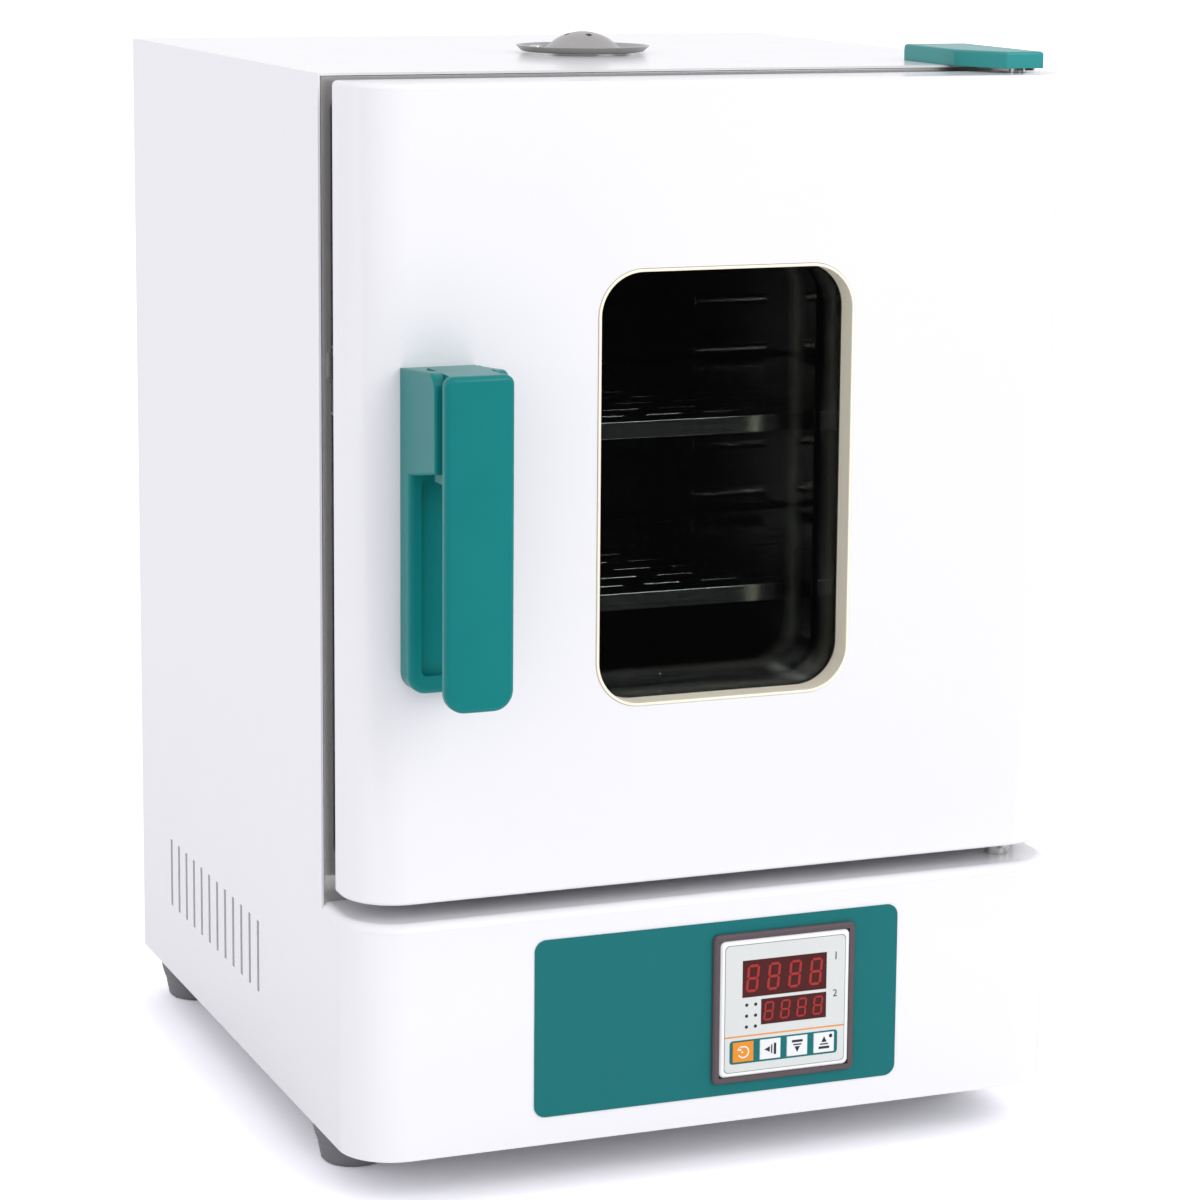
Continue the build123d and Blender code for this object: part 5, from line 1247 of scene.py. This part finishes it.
class OVEN_OT_instrument(bpy.types.Operator):
    """Fascia label, surround, instrument, displays and keys"""

    bl_idname = "oven.instrument"
    bl_label = "Instrument"

    def execute(self, context):
        for node in (
            "control_label", "controller_surround", "controller_body", "display_windows",
            "key_1", "key_2", "key_3", "key_4",
        ):
            dress(node)
        low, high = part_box("controller_body")
        centre = ((low[0] + high[0]) / 2, (low[2] + high[2]) / 2)
        width = high[0] - low[0]
        front = low[1]
        self.face(centre, width, front)
        self.digits()
        self.marks(centre, width, front)
        return {"FINISHED"}

    def face(self, centre, width, front):
        """Grey face film with holes for the displays and the key strip, and a painted shade ring round it."""
        film = width - 2 * sizes().rim_width
        holes = [
            rectangle(((low.x + high.x) / 2, (low.z + high.z) / 2), (high.x - low.x, high.z - low.z))
            for low, high in solids_of("display_windows")
        ]
        keys = [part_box(f"key_{number}") for number in range(1, 5)]
        strip_centre = ((keys[0][0][0] + keys[3][1][0]) / 2, (keys[0][0][2] + keys[0][1][2]) / 2)
        strip = rounded_rectangle(strip_centre, STRIP_SIZE, STRIP_RADIUS)
        edge = rounded_rectangle(centre, (film, film), FACE_RADIUS)
        flat_mark(
            "instrument_face_film", [edge, *holes, strip], front, "instrument_face",
            "chassis", "light_grey_plastic",
        )
        # A flat dark ring round the face film paints the shade of the groove between rim and face
        groove = film + 2 * sizes().rim_line
        flat_mark(
            "instrument_groove", [rounded_rectangle(centre, (groove, groove), FACE_RADIUS), edge], front,
            "rim_groove", "chassis", "light_grey_plastic", sizes().film_thickness * 0.4,
        )
        windows = [
            rounded_rectangle(
                ((low[0] + high[0]) / 2, (low[2] + high[2]) / 2),
                (high[0] - low[0] + 2 * KEY_WINDOW_GAP, high[2] - low[2] + 2 * KEY_WINDOW_GAP),
                KEY_WINDOW_RADIUS,
            )
            for low, high in keys
        ]
        flat_mark(
            "key_strip_film", [strip, *windows], front + STRIP_SINK, "teal_film", "chassis", "teal_film",
            sizes().film_thickness * 3,
        )

    def digits(self):
        """Unlit seven-bar digits behind the display windows."""
        tree = segments_tree()
        for row, (low, high) in enumerate(sorted(solids_of("display_windows"), key=lambda box: box[0].z)):
            self.display(f"display_bars_{row + 1}", tree, low, high)

    def display(self, name, tree, low, high):
        """One row of digits that fills its window."""
        height = (high.z - low.z) * DIGIT_HEIGHT
        pitch = (high.x - low.x) / sizes().digits
        width = pitch * DIGIT_WIDTH
        bar = height * BAR_WIDTH
        gap = bar * BAR_GAP
        lying = self.bar("bar_form", width - bar - gap * 2, bar, 0)
        standing = self.bar("standing_bar_form", height / 2 - bar / 2 - gap * 2, bar, pi / 2)
        half_x, half_z = (width - bar) / 2, (height - bar) / 4
        places = [(0, 0, level * 2 * half_z) for level in (-1, 0, 1)]
        places += [(side * half_x, 0, level * half_z) for side in (-1, 1) for level in (-1, 1)]
        piece = points_piece(name, places)
        upright = piece.data.attributes.new("upright", "BOOLEAN", "POINT")
        for place, value in zip(places, upright.data):
            value.value = place[0] != 0
        grow(
            piece, tree, digits=sizes().digits, pitch=pitch, slant=SLANT, bar=lying, standing_bar=standing,
            material=finish("display_segment"), seed=1,
        )
        drop(lying, standing)
        middle_z = (low.z + high.z) / 2
        piece.data.transform(Matrix.Translation((low.x + pitch / 2, low.y, middle_z)))
        settle(piece, "chassis", "dark_red_window")

    def bar(self, name, length, width, turn):
        """One pointed bar, lying or standing, a thin solid in front of y = 0."""
        half, point = length / 2, width / 2
        outline = [
            (half - point, -point), (half, 0), (half - point, point),
            (point - half, point), (-half, 0), (point - half, -point),
        ]
        thickness = 0.06 * MM
        mesh = flat_mesh([turned(outline, (0, 0), turn * 180 / pi)], thickness, -thickness)
        return new_piece(name, mesh, "display_segment")

    def marks(self, centre, width, front):
        """Orange line, plain numbers, six lamps and the signs on the keys."""
        film = sizes().film_thickness
        y_face = front - film
        reach = width - 2 * sizes().rim_width
        flat_mark(
            "orange_line", [rectangle((centre[0], centre[1] - LINE_DROP), (reach, sizes().line_width))],
            y_face, "orange_key", "chassis", "orange_key", film * 0.4,
        )
        lamps = [
            dot((centre[0] + x, centre[1] + z), LAMP_RADIUS, 12) for x in LAMP_COLUMNS for z in LAMP_ROWS
        ]
        flat_mark("status_lamps", lamps, y_face, "black_print", "chassis", "black_plastic", film * 0.4)
        for number, (x, z, size) in NUMBER_PLACES.items():
            self.number(number, centre[0] + x, centre[1] + z, size, y_face)
        self.key_signs()

    def number(self, text, x, z, size, front):
        """A plain printed number."""
        words = bpy.data.curves.new("number", "FONT")
        words.body = text
        words.size = size
        words.align_x = "CENTER"
        words.align_y = "CENTER"
        words.extrude = sizes().film_thickness * 0.2
        holder = bpy.data.objects.new("number", words)
        bpy.context.scene.collection.objects.link(holder)
        graph = bpy.context.evaluated_depsgraph_get()
        mesh = bpy.data.meshes.new_from_object(holder.evaluated_get(graph), depsgraph=graph)
        bpy.data.objects.remove(holder)
        mesh.transform(
            Matrix.Translation((x, front - words.extrude, z)) @ Matrix.Rotation(pi / 2, 4, "X")
        )
        settle(new_piece(f"number_{text}", mesh, "black_print"), "chassis", "black_plastic")

    def key_signs(self):
        """A return arrow on the first key, and arrow heads with bars on the others."""
        for number in range(1, 5):
            low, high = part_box(f"key_{number}")
            centre = ((low[0] + high[0]) / 2, (low[2] + high[2]) / 2)
            if number == 1:
                outlines, material = self.return_arrow(centre), "white_print"
            else:
                outlines, material = self.arrow(centre, ARROW_TURNS[number]), "black_print"
            if number == 4:
                outlines.append(dot(*beside(centre, (3.7, 3.3)), MM, 16))
            flat_mark(
                f"key_{number}_sign", outlines, low[1], material, f"key_{number}",
                SLOT_OF[f"key_{number}"], sizes().film_thickness * 0.5,
            )

    def return_arrow(self, centre):
        """An open ring with an arrow head at its end and a dot in it."""
        ring = ring_arc(centre, 2.9 * MM, 0.75 * MM, -150, 140)
        head = beside(centre, (-3.6, 1.2), (-1.5, 3.5), (-1.1, 0.8))
        return [ring, head, dot(*beside(centre, (-0.6, 0)), 0.5 * MM, 12)]

    def arrow(self, centre, turn):
        """An arrow head with two bars below it, turned in degrees."""
        head = beside(centre, (-1.5, 0.3), (1.5, 0.3), (0, 3.4))
        thin = rectangle(*beside(centre, (0, -0.75)), (4.6 * MM, 0.7 * MM))
        thick = rectangle(*beside(centre, (0, -2.6)), (6 * MM, 1.3 * MM))
        return [turned(points, centre, turn) for points in (head, thin, thick)]


class OVEN_OT_fittings(bpy.types.Operator):
    """Mains inlet, switch and fuse at the rear, and the parts on the base plate"""

    bl_idname = "oven.fittings"
    bl_label = "Fittings"

    def execute(self, context):
        for node in ("power_inlet", "rocker_housing", "power_rocker", "fuse_holder"):
            dress(node)
        paint("solid_state_relay", "heat_sink", "terminal_block")
        return {"FINISHED"}


OPERATORS = (
    OVEN_OT_stage, OVEN_OT_casing, OVEN_OT_rear_screws, OVEN_OT_feet, OVEN_OT_chamber, OVEN_OT_vent,
    OVEN_OT_door, OVEN_OT_window, OVEN_OT_hinge, OVEN_OT_handle, OVEN_OT_instrument, OVEN_OT_fittings,
)


class OVEN_PT_panel(bpy.types.Panel):
    """Sizes, colours and the operators of the oven"""

    bl_idname = "OVEN_PT_panel"
    bl_label = "Drying Oven"
    bl_space_type = "VIEW_3D"
    bl_region_type = "UI"
    bl_category = "Drying Oven"

    def draw(self, context):
        column = self.layout.column(align=True)
        for operator in OPERATORS:
            column.operator(operator.bl_idname)
        for group in (context.scene.oven_colours, context.scene.oven_sizes, context.scene.oven_stage):
            box = self.layout.box()
            for name in group.bl_rna.properties.keys():
                if name not in ("rna_type", "name"):
                    box.prop(group, name)


CLASSES = (OvenColours, OvenSizes, OvenStage, *OPERATORS, OVEN_PT_panel)


def register():
    for each in CLASSES:
        bpy.utils.register_class(each)
    bpy.types.Scene.oven_colours = PointerProperty(type=OvenColours)
    bpy.types.Scene.oven_sizes = PointerProperty(type=OvenSizes)
    bpy.types.Scene.oven_stage = PointerProperty(type=OvenStage)


def unregister():
    del bpy.types.Scene.oven_colours
    del bpy.types.Scene.oven_sizes
    del bpy.types.Scene.oven_stage
    for each in reversed(CLASSES):
        bpy.utils.unregister_class(each)


def main():
    register()
    for operator in OPERATORS:
        getattr(bpy.ops.oven, operator.bl_idname.removeprefix("oven."))()


if __name__ == "__main__":
    main()
